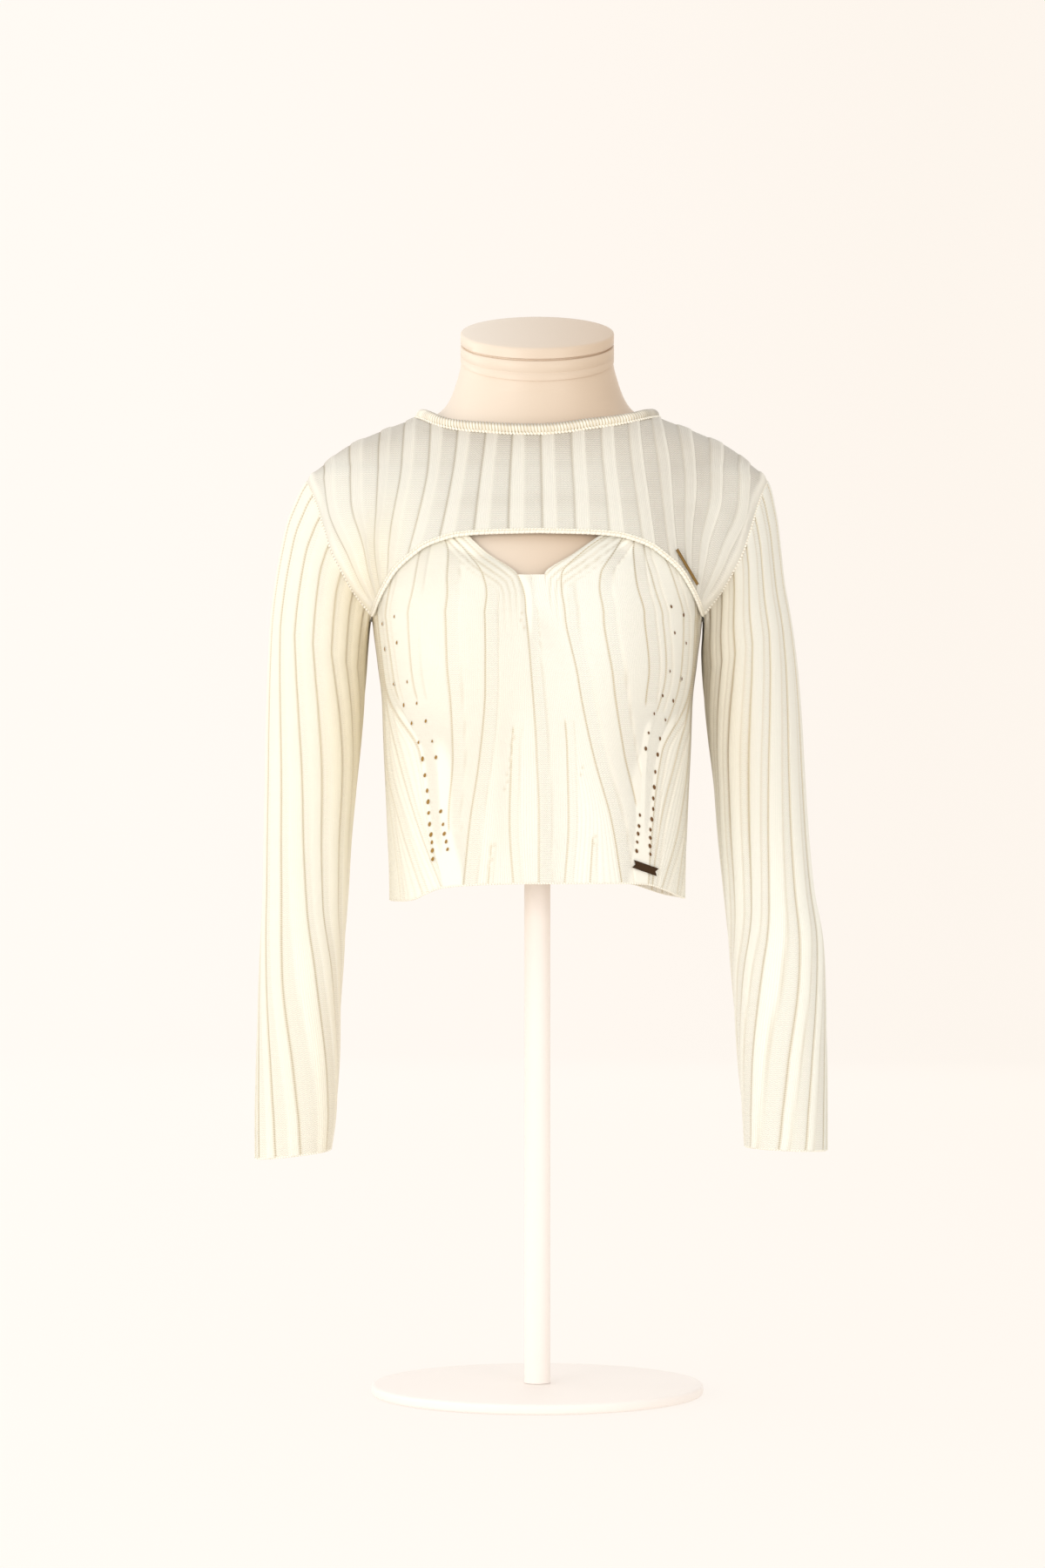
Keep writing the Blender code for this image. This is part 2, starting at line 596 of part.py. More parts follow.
def form_ring(z, inset=FORM_INSET, tilt=0.0):
    """One ring of the dress form, cut flat where a shoulder cap closes an armhole."""
    half_width, front, back, centre_y, square = [float(value) for value in section(z)]
    ease = math.exp(-(((z - ARMPIT_EASE["z"]) / ARMPIT_EASE["half_height"]) ** 2))
    inset = inset + ARMPIT_EASE["inset"] * ease
    turn = np.linspace(0, 2 * math.pi, FORM_SIDES, endpoint=False) + math.pi / FORM_SIDES
    across = np.sign(np.cos(turn)) * np.abs(np.cos(turn)) ** (2 / square)
    through = np.sign(np.sin(turn)) * np.abs(np.sin(turn)) ** (2 / square)
    x = (half_width - inset) * across
    depth = np.where(through < 0, front, back) - inset
    y = centre_y + depth * through
    y = y - np.where(through < 0, cup_rise(x, z) * (1 - np.abs(across) ** 6) * np.clip(-through * 2, 0, 1), 0)
    if ARM_FRONT_Z < z <= SHOULDER_CAP_TOP:
        limit = float(curve(ARMHOLE, z, "z", "x")) - SHOULDER_CAP_INSET
        x = np.clip(x, -limit, limit)
    return np.stack([x, y, z + (y - centre_y) * math.tan(math.radians(tilt))], axis=-1)


def dress_form(finish):
    rings = [form_ring(z) for z in FORM_LEVELS]
    rings += [form_ring(z, tilt=tilt) for z, tilt in zip(NECK_RINGS["z"], NECK_RINGS["tilt"])]
    return stack("form_torso", np.array(rings), finish)


def neck_cap(finish):
    """The disc on the neck, with an eased top edge."""
    rings = []
    for rise, inset in CAP_PROFILE:
        ring = form_ring(NECK_TOP, inset=inset, tilt=NECK_TILT)
        ring[:, 2] += CAP_GAP + rise
        rings.append(ring)
    return stack("form_neck_cap", np.array(rings), finish)


def round_ring(radius, z, sides):
    turn = np.linspace(0, 2 * math.pi, sides, endpoint=False)
    return np.stack([radius * np.cos(turn), radius * np.sin(turn), np.full(sides, z)], axis=-1)


def stand(finish):
    low = BASE_RADIUS - BASE_ROUNDING
    profile = [
        (low, 0.0),
        (BASE_RADIUS, BASE_ROUNDING),
        (BASE_RADIUS, BASE_HEIGHT - BASE_ROUNDING),
        (low, BASE_HEIGHT),
    ]
    stack("stand_base", np.array([round_ring(radius, z, BASE_SIDES) for radius, z in profile]), finish)
    ends = (BASE_HEIGHT + SEAM_GAP, FORM_BOTTOM - SEAM_GAP)
    stack("stand_pole", np.array([round_ring(POLE_RADIUS, z, POLE_SIDES) for z in ends]), finish)


# ---- the whole part ------------------------------------------------------------------------------
def clear_scene():
    for existing in list(bpy.data.objects):
        bpy.data.objects.remove(existing, do_unlink=True)


def main():
    clear_scene()
    knit = material("cream_rib_knit", CREAM_KNIT, 0.9)
    edge_knit = material("cream_edge_knit", CREAM_EDGE, 0.9)
    form = material("beige_form_shell", FORM_BEIGE, 0.45)
    white = material("stand_white_paint", STAND_WHITE, 0.4)
    bronze = material("dark_bronze_plate", DARK_BRONZE, 0.35, 1.0)
    gold = material("old_gold_plate", OLD_GOLD, 0.35, 1.0)

    front_skin = yoke_skin(-1, NECK_FRONT, ARCH_FRONT)
    back_skin = yoke_skin(1, NECK_BACK, ARCH_BACK)
    front_outer, front_inner = laid_out(front_skin, YOKE_INNER, YOKE_OUTER, YOKE_FOLDS)
    back_outer, back_inner = laid_out(back_skin, YOKE_INNER, YOKE_OUTER)
    wall("yoke_front", front_outer, front_inner, knit)
    wall("yoke_back", back_outer, back_inner, knit)

    wall("top_front", *laid_out(top_skin(-1, TOP_EDGE_FRONT, HEM_FRONT), TOP_INNER, TOP_OUTER), knit)
    wall("top_back", *laid_out(top_skin(1, TOP_EDGE_BACK, HEM_BACK), TOP_INNER, TOP_OUTER), knit)

    for name, side, sections in (("sleeve_left", -1, SLEEVE_LEFT), ("sleeve_right", 1, SLEEVE_RIGHT)):
        rings = sleeve_rings(side, sections, armhole_loop(side, front_outer, back_outer))
        wall(name, rings, rings - grid_normals(rings) * KNIT_WALL, knit, ring=True)

    collar(front_skin, back_skin, edge_knit)
    piped_edge("yoke_edge_front", front_skin, edge_knit)
    piped_edge("yoke_edge_back", back_skin, edge_knit)

    plate("hem_plate", HEM_PLATE_AT, HEM_PLATE, TOP_OUTER + PLATE_LIFT, bronze)
    plate("yoke_plate", YOKE_PLATE_AT, YOKE_PLATE, YOKE_OUTER + PLATE_LIFT, gold)

    dress_form(form)
    neck_cap(form)
    stand(white)


main()
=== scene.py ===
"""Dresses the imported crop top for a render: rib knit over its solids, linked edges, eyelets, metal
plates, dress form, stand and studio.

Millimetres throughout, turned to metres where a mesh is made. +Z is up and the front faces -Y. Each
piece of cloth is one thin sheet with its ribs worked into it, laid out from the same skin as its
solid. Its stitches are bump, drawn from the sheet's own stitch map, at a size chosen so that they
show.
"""

import math

import bmesh
import bpy
import numpy as np
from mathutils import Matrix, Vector


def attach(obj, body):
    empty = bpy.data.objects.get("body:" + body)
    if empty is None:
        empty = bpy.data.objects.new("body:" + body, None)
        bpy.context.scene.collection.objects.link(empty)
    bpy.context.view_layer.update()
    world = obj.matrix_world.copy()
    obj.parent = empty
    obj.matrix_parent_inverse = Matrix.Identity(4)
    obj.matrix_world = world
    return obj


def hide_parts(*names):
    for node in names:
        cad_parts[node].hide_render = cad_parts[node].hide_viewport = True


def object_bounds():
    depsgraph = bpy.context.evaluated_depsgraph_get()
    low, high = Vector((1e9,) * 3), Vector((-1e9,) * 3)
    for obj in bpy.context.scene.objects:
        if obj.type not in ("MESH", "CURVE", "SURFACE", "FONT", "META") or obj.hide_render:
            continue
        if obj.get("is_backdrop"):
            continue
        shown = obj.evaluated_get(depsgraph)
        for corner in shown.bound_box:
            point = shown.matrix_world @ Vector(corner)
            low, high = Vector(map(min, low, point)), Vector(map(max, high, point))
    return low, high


bl_info = {
    "name": "Crop top dresser",
    "version": (1, 0, 0),
    "blender": (4, 5, 0),
    "location": "3D View > Sidebar > Crop Top",
    "description": "Builds the knit, edges, plates, dress form and studio of a layered crop top",
    "category": "Object",
}

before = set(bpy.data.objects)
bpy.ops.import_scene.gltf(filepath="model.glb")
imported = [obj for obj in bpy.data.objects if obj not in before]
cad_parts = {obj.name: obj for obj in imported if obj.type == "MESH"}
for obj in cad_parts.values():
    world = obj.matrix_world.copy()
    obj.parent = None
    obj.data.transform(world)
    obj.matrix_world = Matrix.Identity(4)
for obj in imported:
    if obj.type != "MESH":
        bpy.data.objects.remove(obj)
CAD_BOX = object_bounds()

MM = 0.001

# ---- the skin and its layers, as the solids have them ----------------------------------------------
TOP_OUTER = 3.5          # distances out from the skin
TOP_INNER = 1.5
YOKE_INNER = 4.4
YOKE_OUTER = 6.4
FORM_INSET = 1.0
SEAM_GAP = 0.3
ARMHOLE_GAP = 0.5
COLLAR_RADIUS = 3.6
COLLAR_GAP = 0.4
EDGE_WIDTH = 4.5
EDGE_THICKNESS = 3.6
EDGE_LIFT = 6.4
CORD_RADIUS = 1.3
PLATE_LIFT = 0.9
TOP_SPAN = 136.3
SHOULDER_Z = 768.7
ARM_FRONT_Z = 661.0
UNDERARM_Z = 654.0
NECK_SIDE_Z = 818.5
NECK_HALF_WIDTH = 101.0


def table(columns, rows):
    """A short table with named columns, as a dictionary of arrays."""
    return dict(zip(columns.split(), np.array(rows, float).T))


SKIN = table(
    "z half_width front back centre_y square",
    [
        (400, 121.0, 84.0, 76.0, 2.0, 2.30),
        (440, 121.5, 85.0, 77.0, 2.0, 2.30),
        (475, 123.0, 88.0, 80.0, 2.0, 2.30),
        (510, 124.5, 93.0, 84.0, 3.0, 2.30),
        (550, 126.3, 99.0, 90.0, 3.0, 2.35),
        (585, 127.5, 104.5, 95.0, 4.0, 2.45),
        (615, 131.0, 107.0, 98.0, 4.0, 2.60),
        (640, 134.3, 107.0, 100.0, 5.0, 2.75),
        (655, 136.3, 106.0, 101.0, 5.0, 2.80),
        (661, 139.5, 105.5, 101.5, 5.0, 2.75),
        (670, 148.5, 104.0, 102.0, 5.0, 2.60),
        (678, 158.0, 102.0, 102.5, 5.0, 2.50),
        (694, 176.0, 98.0, 103.0, 5.0, 2.40),
        (708, 186.0, 93.5, 103.0, 5.0, 2.35),
        (729, 191.5, 86.0, 101.5, 5.5, 2.30),
        (751, 190.0, 78.0, 97.0, 6.0, 2.30),
        (768.7, 188.1, 71.0, 92.0, 7.0, 2.20),
        (780, 176.7, 67.5, 87.5, 8.0, 2.10),
        (794, 158.9, 64.5, 82.0, 8.0, 2.05),
        (807, 130.4, 62.0, 76.5, 8.0, 2.00),
        (818.5, 101.0, 61.0, 72.0, 8.0, 2.00),
        (825, 88.5, 60.5, 69.5, 8.0, 2.00),
        (833, 79.0, 60.0, 67.0, 8.0, 2.00),
        (845, 72.5, 59.5, 64.0, 8.0, 2.00),
        (857, 68.5, 59.0, 62.0, 7.5, 2.00),
        (866, 66.0, 58.5, 60.5, 7.0, 2.00),
        (872, 65.0, 58.0, 59.5, 6.5, 2.00),
    ],
)
CUP = {"x": 70.0, "z": 606.0, "rise": 13.0, "half_width": 42.0, "half_height": 50.0}
ARMHOLE = table(
    "z x",
    [(661, 134.5), (678, 148.5), (694.5, 158.8), (708, 166.6), (729, 174.3), (751, 181.0), (768.7, 188.1)],
)
NECK_FRONT = table(
    "x z",
    [(-101, 818.5), (-95, 815.6), (-84, 811), (-66, 807.6), (-43, 806), (-21, 804.8), (0, 804.6), (20, 806),
     (40, 808.8), (62.5, 811), (82, 814), (94, 816.7), (101, 818.5)],
)
NECK_BACK = table(
    "x z",
    [(-101, 818.5), (-92, 816), (-70, 813), (-40, 811.4), (0, 811), (40, 811.4), (70, 813), (92, 816),
     (101, 818.5)],
)
ARCH_FRONT = table(
    "x z",
    [(0, 723.5), (48.5, 722), (68, 720), (79.5, 717), (94.5, 711), (103, 705), (113.5, 696.5), (120, 689.5),
     (125, 681.5), (131, 669.5), (134.5, 661)],
)
ARCH_BACK = table(
    "x z",
    [(0, 706), (40, 704.5), (70, 700), (95, 692), (112, 683), (124, 674), (131, 667), (134.5, 661)],
)
HEM_FRONT = table(
    "x z",
    [(-136.3, 417), (-112, 417), (-101, 418.5), (-92, 423), (-78, 428.5), (-45, 431.5), (0, 432.5),
     (60, 432.5), (88, 431.5), (104, 426.5), (122, 418.5), (136.3, 417)],
)
HEM_BACK = table(
    "x z",
    [(-136.3, 417), (-110, 420), (-80, 429), (-45, 435), (0, 437), (45, 435), (80, 429), (110, 420),
     (136.3, 417)],
)
# Where the inner top ends under the yoke, out from the middle, in front and behind.
TOP_END_FRONT = table(
    "x z",
    [(0, 725), (60, 725.2), (73, 726), (84, 721.5), (94.5, 716.5), (103, 710), (111, 702), (118, 693),
     (123.5, 683), (128, 672.5), (131.5, 664), (134, 657), (135.6, 653.5), (136.3, 651)],
)
TOP_END_BACK = table(
    "x z",
    [(0, 713.5), (20, 713), (40, 712), (58, 709.5), (78, 704.5), (95, 696.5), (112, 685), (124, 673.5),
     (131, 663), (134, 657), (135.6, 653.5), (136.3, 651)],
)
SLEEVE_COLUMNS = "outer_x outer_z inner_x inner_z front_y back_y"
SLEEVE_LEFT = table(
    SLEEVE_COLUMNS,
    [
        (203.0, 757, 141.6, 650.5, -55.0, 62.0),
        (211.0, 737, 142.0, 645, -56.5, 63.0),
        (216.5, 713, 142.6, 637, -56.5, 62.5),
        (221.5, 684, 143.4, 626, -55.0, 61.0),
        (225.2, 652, 144.4, 610, -53.0, 58.5),
        (227.5, 612, 145.8, 588, -50.5, 55.5),
        (229.0, 568, 148.5, 556, -47.5, 52.0),
        (230.0, 520, 152.2, 516, -45.0, 48.0),
        (231.0, 470, 156.8, 470, -44.0, 43.0),
        (231.8, 425, 159.5, 425, -45.0, 38.0),
        (233.5, 378, 162.5, 378, -48.0, 32.0),
        (235.0, 330, 165.3, 330, -51.5, 25.0),
        (236.3, 280, 166.5, 280, -54.5, 18.0),
        (237.0, 235, 169.0, 237, -56.5, 12.0),
        (237.0, 201, 173.0, 208, -57.5, 8.0),
    ],
)
SLEEVE_RIGHT = table(
    SLEEVE_COLUMNS,
    [
        (199.5, 757, 140.9, 650.5, -55.0, 62.0),
        (203.2, 737, 140.4, 645, -56.5, 63.0),
        (205.8, 713, 139.8, 637, -56.5, 62.5),
        (209.0, 684, 139.0, 626, -55.0, 61.0),
        (214.2, 654, 139.4, 610, -53.0, 58.5),
        (219.5, 615, 140.8, 588, -50.5, 55.5),
        (223.3, 570, 144.2, 556, -47.5, 52.0),
        (226.2, 520, 148.8, 516, -45.0, 48.0),
        (229.5, 470, 152.6, 470, -44.0, 43.0),
        (234.0, 425, 157.2, 425, -45.0, 38.0),
        (240.6, 385, 161.2, 381, -48.0, 32.0),
        (242.6, 335, 164.8, 335, -51.5, 25.0),
        (243.3, 285, 168.2, 285, -54.5, 18.0),
        (243.3, 240, 171.8, 240, -56.5, 12.0),
        (243.3, 208, 173.8, 211, -57.5, 8.0),
    ],
)
SLEEVE_SQUARE = 2.15     # 2 is an ellipse, and more is squarer
UNDERARM_REACH = 0.92    # of the armhole's depth
ARMHOLE_BLEND = 5        # rows of the sleeve over which it leaves the armhole's own shape
SLEEVE_LEAN = math.radians(-23)

# ---- how the ribs run --------------------------------------------------------------------------------
# The yoke's ribs, in rib pitches from its middle, and how far out each stands at the neck and
# shoulders, a third and two thirds of the way down, and on the arched edge. A recessed band is centred
# on every whole number.
YOKE_RIBS = table(
    "rib neck third two_thirds arch",
    [
        (-7.73, -176.7, -170.5, -151.5, -132.6),
        (-6.73, -155.0, -153.0, -140.0, -130.2),
        (-5.73, -130.0, -131.5, -132.5, -126.8),
        (-4.73, -109.0, -112.6, -119.5, -121.5),
        (-3.73, -87.2, -90.2, -97.5, -105.3),
        (-2.73, -65.0, -69.0, -74.5, -79.9),
        (-1.73, -42.2, -46.0, -49.5, -52.3),
        (-0.73, -20.5, -22.3, -23.5, -24.1),
        (-0.27, -10.4, -10.6, -10.8, -11.0),
        (0.73, 13.9, 14.8, 15.8, 16.5),
        (1.73, 38.6, 40.4, 42.5, 43.3),
        (2.73, 62.2, 65.0, 68.6, 71.5),
        (3.73, 83.3, 88.0, 92.6, 96.2),
        (4.73, 101.8, 109.7, 111.8, 114.5),
        (5.73, 127.7, 131.0, 126.5, 124.0),
        (6.73, 154.0, 151.5, 138.5, 129.6),
        (7.73, 176.0, 171.5, 152.5, 132.4),
    ],
)
YOKE_SIDES = (-8.45, 8.6)
YOKE_PITCH = 22.4        # mm between ribs
YOKE_BAND = 0.27         # half width of a recessed band, in pitches
YOKE_DOWN = (0.0, 0.35, 0.7, 1.0)

# The inner top's front ribs: x of each rib's dark line at eight heights, from the hem up. Ribs 4 and
# between 3 and 5 end on the neckline's floor, at 686.
TOP_HEIGHTS = (424.0, 482.0, 541.0, 600.0, 658.0, 686.0, 705.0, 725.0)
FLOOR = None
TOP_RIBS = [
    (-7, -111.4, -118.6, -125.4, -127.5, -136.5, -137.2, -137.2, -137.5),
    (-6, -93.5, -112.1, -123.9, -126.8, -135.0, -135.8, -135.8, -136.1),
    (-5, -76.3, -97.8, -114.3, -125.9, -133.6, -134.3, -134.3, -134.3),
    (-4, -74.8, -88.1, -95.6, -124.6, -131.1, -132.2, -130.7, -130.0),
    (-3, -72.7, -87.4, -93.8, -116.4, -123.6, -119.3, -115.7, -111.4),
    (-2, -70.5, -76.6, -82.7, -100.6, -104.9, -99.9, -96.7, -89.9),
    (-1, -66.4, -72.3, -68.8, -72.1, -74.8, -74.1, -73.4, -80.6),
    (0, -61.2, -55.3, -46.9, -43.0, -43.3, -45.1, -58.4, -76.3),
    (1, -41.2, -36.5, -32.9, -30.6, -32.6, -36.1, -53.3, -72.0),
    (2, -19.3, -22.9, -21.6, -18.1, -21.1, -26.5, -48.3, -67.7),
    (3, 1.1, 1.1, -1.0, -5.3, -10.2, -16.8, -43.0, -63.0),
    (4, 21.5, 25.3, 24.3, 19.0, 0.4, -5.3, FLOOR, FLOOR),
    (5, 42.3, 45.2, 35.5, 26.5, 11.2, 5.8, 31.9, 59.9),
    (6, 69.9, 60.6, 45.0, 33.6, 22.3, 19.8, 37.3, 64.9),
    (7, 79.2, 81.0, 70.1, 61.3, 53.4, 51.6, 62.8, 74.9),
    (8, 81.7, 83.2, 85.0, 89.1, 86.0, 79.9, 78.5, 81.4),
    (9, 84.2, 85.3, 87.5, 102.8, 100.4, 92.8, 87.8, 86.4),
    (10, 87.1, 92.3, 97.1, 115.4, 118.1, 110.4, 102.9, 96.4),
    (11, 90.0, 93.6, 100.9, 125.5, 129.0, 128.0, 125.8, 123.7),
    (12, 92.8, 99.9, 113.8, 126.7, 130.5, 131.5, 131.2, 130.8),
    (13, 100.0, 115.9, 123.8, 127.8, 131.5, 132.6, 132.3, 132.3),
    (14, 114.0, 121.5, 125.5, 128.7, 132.5, 133.7, 133.3, 133.3),
]
TOP_SIDES = (-8.0, 15.0)
V_LEFT, V_RIGHT = 3, 5
# Which of those lines are drawn between which heights, and the purl band to the right of each: its
# width in mm and how deep it lies, 0 to 1.
TOP_BANDS = table(
    "rib low high line band depth",
    [
        (-7, 400, 740, 0.3, 4.0, 0.3),
        (-6, 400, 740, 0.45, 5.0, 0.4),
        (-5, 400, 740, 0.6, 5.0, 0.4),
        (-4, 532, 740, 0.8, 5.0, 0.5),
        (-3, 585, 740, 0.8, 5.0, 0.5),
        (-2, 585, 740, 0.8, 9.0, 0.5),
        (-1, 476, 740, 1.0, 11.0, 0.8),
        (0, 400, 740, 1.0, 11.5, 0.9),
        (1, 400, 466, 0.9, 5.0, 0.5),
        (2, 400, 562, 1.0, 8.0, 0.6),
        (3, 400, 686, 1.0, 11.5, 0.9),
        (4, 400, 567, 1.0, 8.0, 0.6),
        (5, 400, 471, 0.9, 5.0, 0.5),
        (6, 400, 740, 1.0, 11.5, 0.9),
        (7, 498, 740, 1.0, 11.0, 0.9),
        (8, 581, 740, 1.0, 10.0, 0.8),
        (9, 575, 740, 0.8, 6.0, 0.5),
        (10, 565, 740, 0.8, 6.0, 0.5),
        (11, 400, 740, 0.8, 5.0, 0.5),
        (12, 400, 740, 0.8, 5.0, 0.5),
        (13, 400, 740, 0.7, 5.0, 0.5),
        (14, 400, 740, 0.5, 4.0, 0.5),
    ],
)
BACK_BANDS = table(
    "rib low high line band depth",
    [(rib, 400, 740, 0.8, 5.0, 0.7) for rib in range(-7, 15)],
)
# Where stitches were moved over at the darts' tips, each leaving a small tuck: x and z.
DART_TUCKS = [
    (-19.5, 561), (-20.4, 555), (-21.0, 549), (-22.2, 543), (-22.0, 537), (-23.4, 531), (-24.2, 525),
    (-25.4, 519), (-26.2, 513), (-36.4, 466), (-37.4, 460), (-38.0, 454), (-39.2, 448), (35.8, 531),
    (36.2, 525), (46.2, 473), (46.8, 467), (-14.0, 656), (-13.2, 650), (-12.2, 644),
]
# The neckline's own band of fine ribs, in mm, and the outlines that it follows, x and z.
NECKBAND_WIDTH = 20.0
NECKBAND_PITCH = 5.1
NECK_V_LEFT = [(-67.0, 729.0), (-43.0, 705.0), (-24.0, 691.5), (-16.8, 685.0), (-13.0, 672.0), (-11.0, 620.0)]
NECK_V_RIGHT = [(64.0, 729.0), (31.9, 705.0), (13.0, 692.0), (5.8, 685.0), (5.0, 672.0), (8.0, 620.0)]

# The eyelets that follow each princess line, x and z, from the armhole down.
EYELETS = {
    "left_outer": [
        (-125.7, 648.2), (-123.6, 627.4), (-116.4, 598.3), (-107.8, 580.4), (-101.4, 565.4), (-96.0, 549.6),
        (-92.8, 536.0), (-91.0, 522.4), (-89.2, 509.5), (-88.5, 500.2), (-88.1, 490.9), (-87.4, 481.5),
        (-86.3, 472.9), (-85.6, 466.5), (-85.2, 459.7), (-84.9, 452.5),
    ],
    "left_inner": [
        (-115.7, 653.5), (-113.5, 632.0), (-104.9, 599.8), (-97.1, 581.9), (-89.9, 567.2), (-84.9, 550.7),
        (-82.0, 537.4), (-78.4, 492.3), (-76.6, 481.5), (-75.6, 473.7), (-74.1, 467.2), (-73.0, 460.8),
    ],
    "right_outer": [
        (117.9, 655.0), (120.1, 632.0), (116.5, 602.6), (109.3, 584.0), (102.9, 568.2), (98.6, 552.8),
        (96.8, 539.6), (95.0, 525.2), (94.3, 512.4), (93.6, 503.0), (93.6, 494.1), (92.5, 485.5),
        (91.4, 476.9), (91.4, 470.1), (91.1, 463.3), (91.4, 456.5),
    ],
    "right_inner": [
        (107.9, 661.4), (110.5, 639.9), (106.5, 608.4), (100.4, 588.3), (93.6, 573.3), (89.3, 557.5),
        (87.1, 544.6), (82.8, 489.1), (82.1, 480.1), (81.4, 473.7), (80.7, 466.8), (80.3, 459.3),
    ],
}

# The sleeves' ribs: the angle of each dark line round the sleeve at six heights, from the outer edge
# over the front to the inner edge at 180 degrees. The other ribs share what is left of the back.
SLEEVE_HEIGHTS = (630.0, 529.0, 412.0, 355.0, 287.0, 208.0)
SLEEVE_RIBS = [
    (-1, -4.0, -3.0, -2.0, 8.0, 20.0, 28.0),
    (0, 18.0, 23.0, 28.0, 36.0, 50.0, 65.0),
    (1, 40.5, 51.7, 59.7, 66.0, 84.0, 104.0),
    (2, 63.4, 80.3, 96.0, 114.0, 135.0, 154.0),
    (3, 86.7, 105.7, 119.0, 142.0, 165.0, 190.0),
    (4, 109.5, 135.0, 146.0, 168.0, 189.0, 212.0),
    (5, 129.0, 156.0, 171.0, 190.0, 211.0, 232.0),
    (6, 149.0, 177.0, 193.0, 210.0, 230.0, 250.0),
]
SLEEVE_COUNT = 16
SLEEVE_ROWS = 230        # of mesh, from the armhole to the cuff
SLEEVE_PITCH = 18.0      # mm between ribs, where they lie at their widest
SLEEVE_RIB = 18.8        # mm of stitch map to a rib: eight columns of stitches
# How much of each rib is recessed, at the same heights.
SLEEVE_BAND = (0.36, 0.36, 0.38, 0.44, 0.55, 0.62)

# Soft folds: both ends, height and half width in mm.
YOKE_FOLDS = [
    {"from": (-152, 752), "to": (-131, 674), "height": 3.0, "half_width": 9.0},
    {"from": (-128, 738), "to": (-119, 696), "height": 1.8, "half_width": 7.0},
    {"from": (158, 756), "to": (134, 680), "height": 2.4, "half_width": 9.0},
]


def linear(code):
    """An sRGB hex colour as linear red, green and blue, and a full alpha."""
    parts = [int(code[i:i + 2], 16) / 255 for i in (1, 3, 5)]
    return (*(c / 12.92 if c <= 0.04045 else ((c + 0.055) / 1.055) ** 2.4 for c in parts), 1.0)


# ---- curves and the skin -----------------------------------------------------------------------------
def smooth(xs, ys, at):
    """A monotone cubic through a table's rows, so no value overshoots the rows beside it."""
    xs, ys = np.asarray(xs, float), np.asarray(ys, float)
    step = np.diff(xs)
    slope = np.diff(ys) / step
    tangent = np.zeros(len(xs))
    tangent[0], tangent[-1] = slope[0], slope[-1]
    for i in range(1, len(xs) - 1):
        before, after = slope[i - 1], slope[i]
        if before * after > 0:
            near = 2 * step[i] + step[i - 1]
            far = step[i] + 2 * step[i - 1]
            tangent[i] = (near + far) / (near / before + far / after)
    at = np.clip(at, xs[0], xs[-1])
    i = np.clip(np.searchsorted(xs, at) - 1, 0, len(step) - 1)
    t = (at - xs[i]) / step[i]
    return (
        ys[i] * (1 + 2 * t) * (1 - t) ** 2
        + ys[i + 1] * t * t * (3 - 2 * t)
        + step[i] * (tangent[i] * t * (1 - t) ** 2 - tangent[i + 1] * t * t * (1 - t))
    )


def curve(rows, at, key="x", value="z"):
    """One column of a table read smoothly against another."""
    return smooth(rows[key], rows[value], np.asarray(at, float))


def eased(low, high, at):
    """0 below low and 1 above high, with a soft turn between."""
    t = np.clip((np.asarray(at, float) - low) / (high - low), 0, 1)
    return t * t * (3 - 2 * t)


def section(z):
    """The skin's half width, front and back depths, middle and squareness at z."""
    return [curve(SKIN, z, "z", name) for name in ("half_width", "front", "back", "centre_y", "square")]


def cup_rise(x, z):
    """How far the bust lifts the front of the skin."""
    across = (np.abs(x) - CUP["x"]) / CUP["half_width"]
    upward = (z - CUP["z"]) / CUP["half_height"]
    return CUP["rise"] * np.exp(-(across**2 + upward**2) / 2)


def skin_points(x, z, facing):
    """Points of the skin at x and z: facing is -1 for the front and +1 for the back."""
    half_width, front, back, centre_y, square = section(z)
    share = np.clip(np.abs(x) / half_width, 0, 1)
    depth = np.where(facing < 0, front, back) * (1 - share**square) ** (1 / square)
    swell = np.where(facing < 0, cup_rise(x, z) * (1 - share**6), 0)
    y = centre_y + facing * np.maximum(depth + swell, SEAM_GAP / 2)
    return np.stack([x, y, z], axis=-1)


def level(points):
    """1 on the skin, less inside it and more outside."""
    x, y, z = np.moveaxis(points, -1, 0)
    half_width, front, back, centre_y, square = section(z)
    share = np.abs(x) / half_width
    ahead = y < centre_y
    swell = np.where(ahead, cup_rise(x, z) * np.clip(1 - share**6, 0, 1), 0)
    depth = np.where(ahead, front, back) + swell
    return share**square + (np.abs(y - centre_y) / depth) ** square


def unit(vectors):
    return vectors / np.maximum(np.linalg.norm(vectors, axis=-1, keepdims=True), 1e-9)


def outward(points, step=0.4):
    """Unit normals of the skin, by central differences."""
    shifts = np.eye(3) * step
    return unit(np.stack([level(points + shift) - level(points - shift) for shift in shifts], axis=-1))


def fold_height(x, z, folds):
    """How far soft folds lift the cloth at (x, z)."""
    height = np.zeros(np.shape(x))
    for fold in folds:
        start, end = np.array(fold["from"], float), np.array(fold["to"], float)
        run = end - start
        length = np.linalg.norm(run)
        along = ((x - start[0]) * run[0] + (z - start[1]) * run[1]) / length**2
        across = ((x - start[0]) * run[1] - (z - start[1]) * run[0]) / length
        ends = np.clip(along * 4, 0, 1) * np.clip((1 - along) * 4, 0, 1)
        height += fold["height"] * ends * np.exp(-((across / fold["half_width"]) ** 2))
    return height


def around_every(whole_numbers, offsets, ends):
    """Sorted values at the offsets round each whole number, kept between the ends."""
    values = (np.asarray(whole_numbers, float)[:, None] + np.asarray(offsets, float)).ravel()
    values = values[(values > ends[0] + 1e-6) & (values < ends[1] - 1e-6)]
    return np.unique(np.round(np.concatenate([[ends[0]], values, [ends[1]]]), 6))


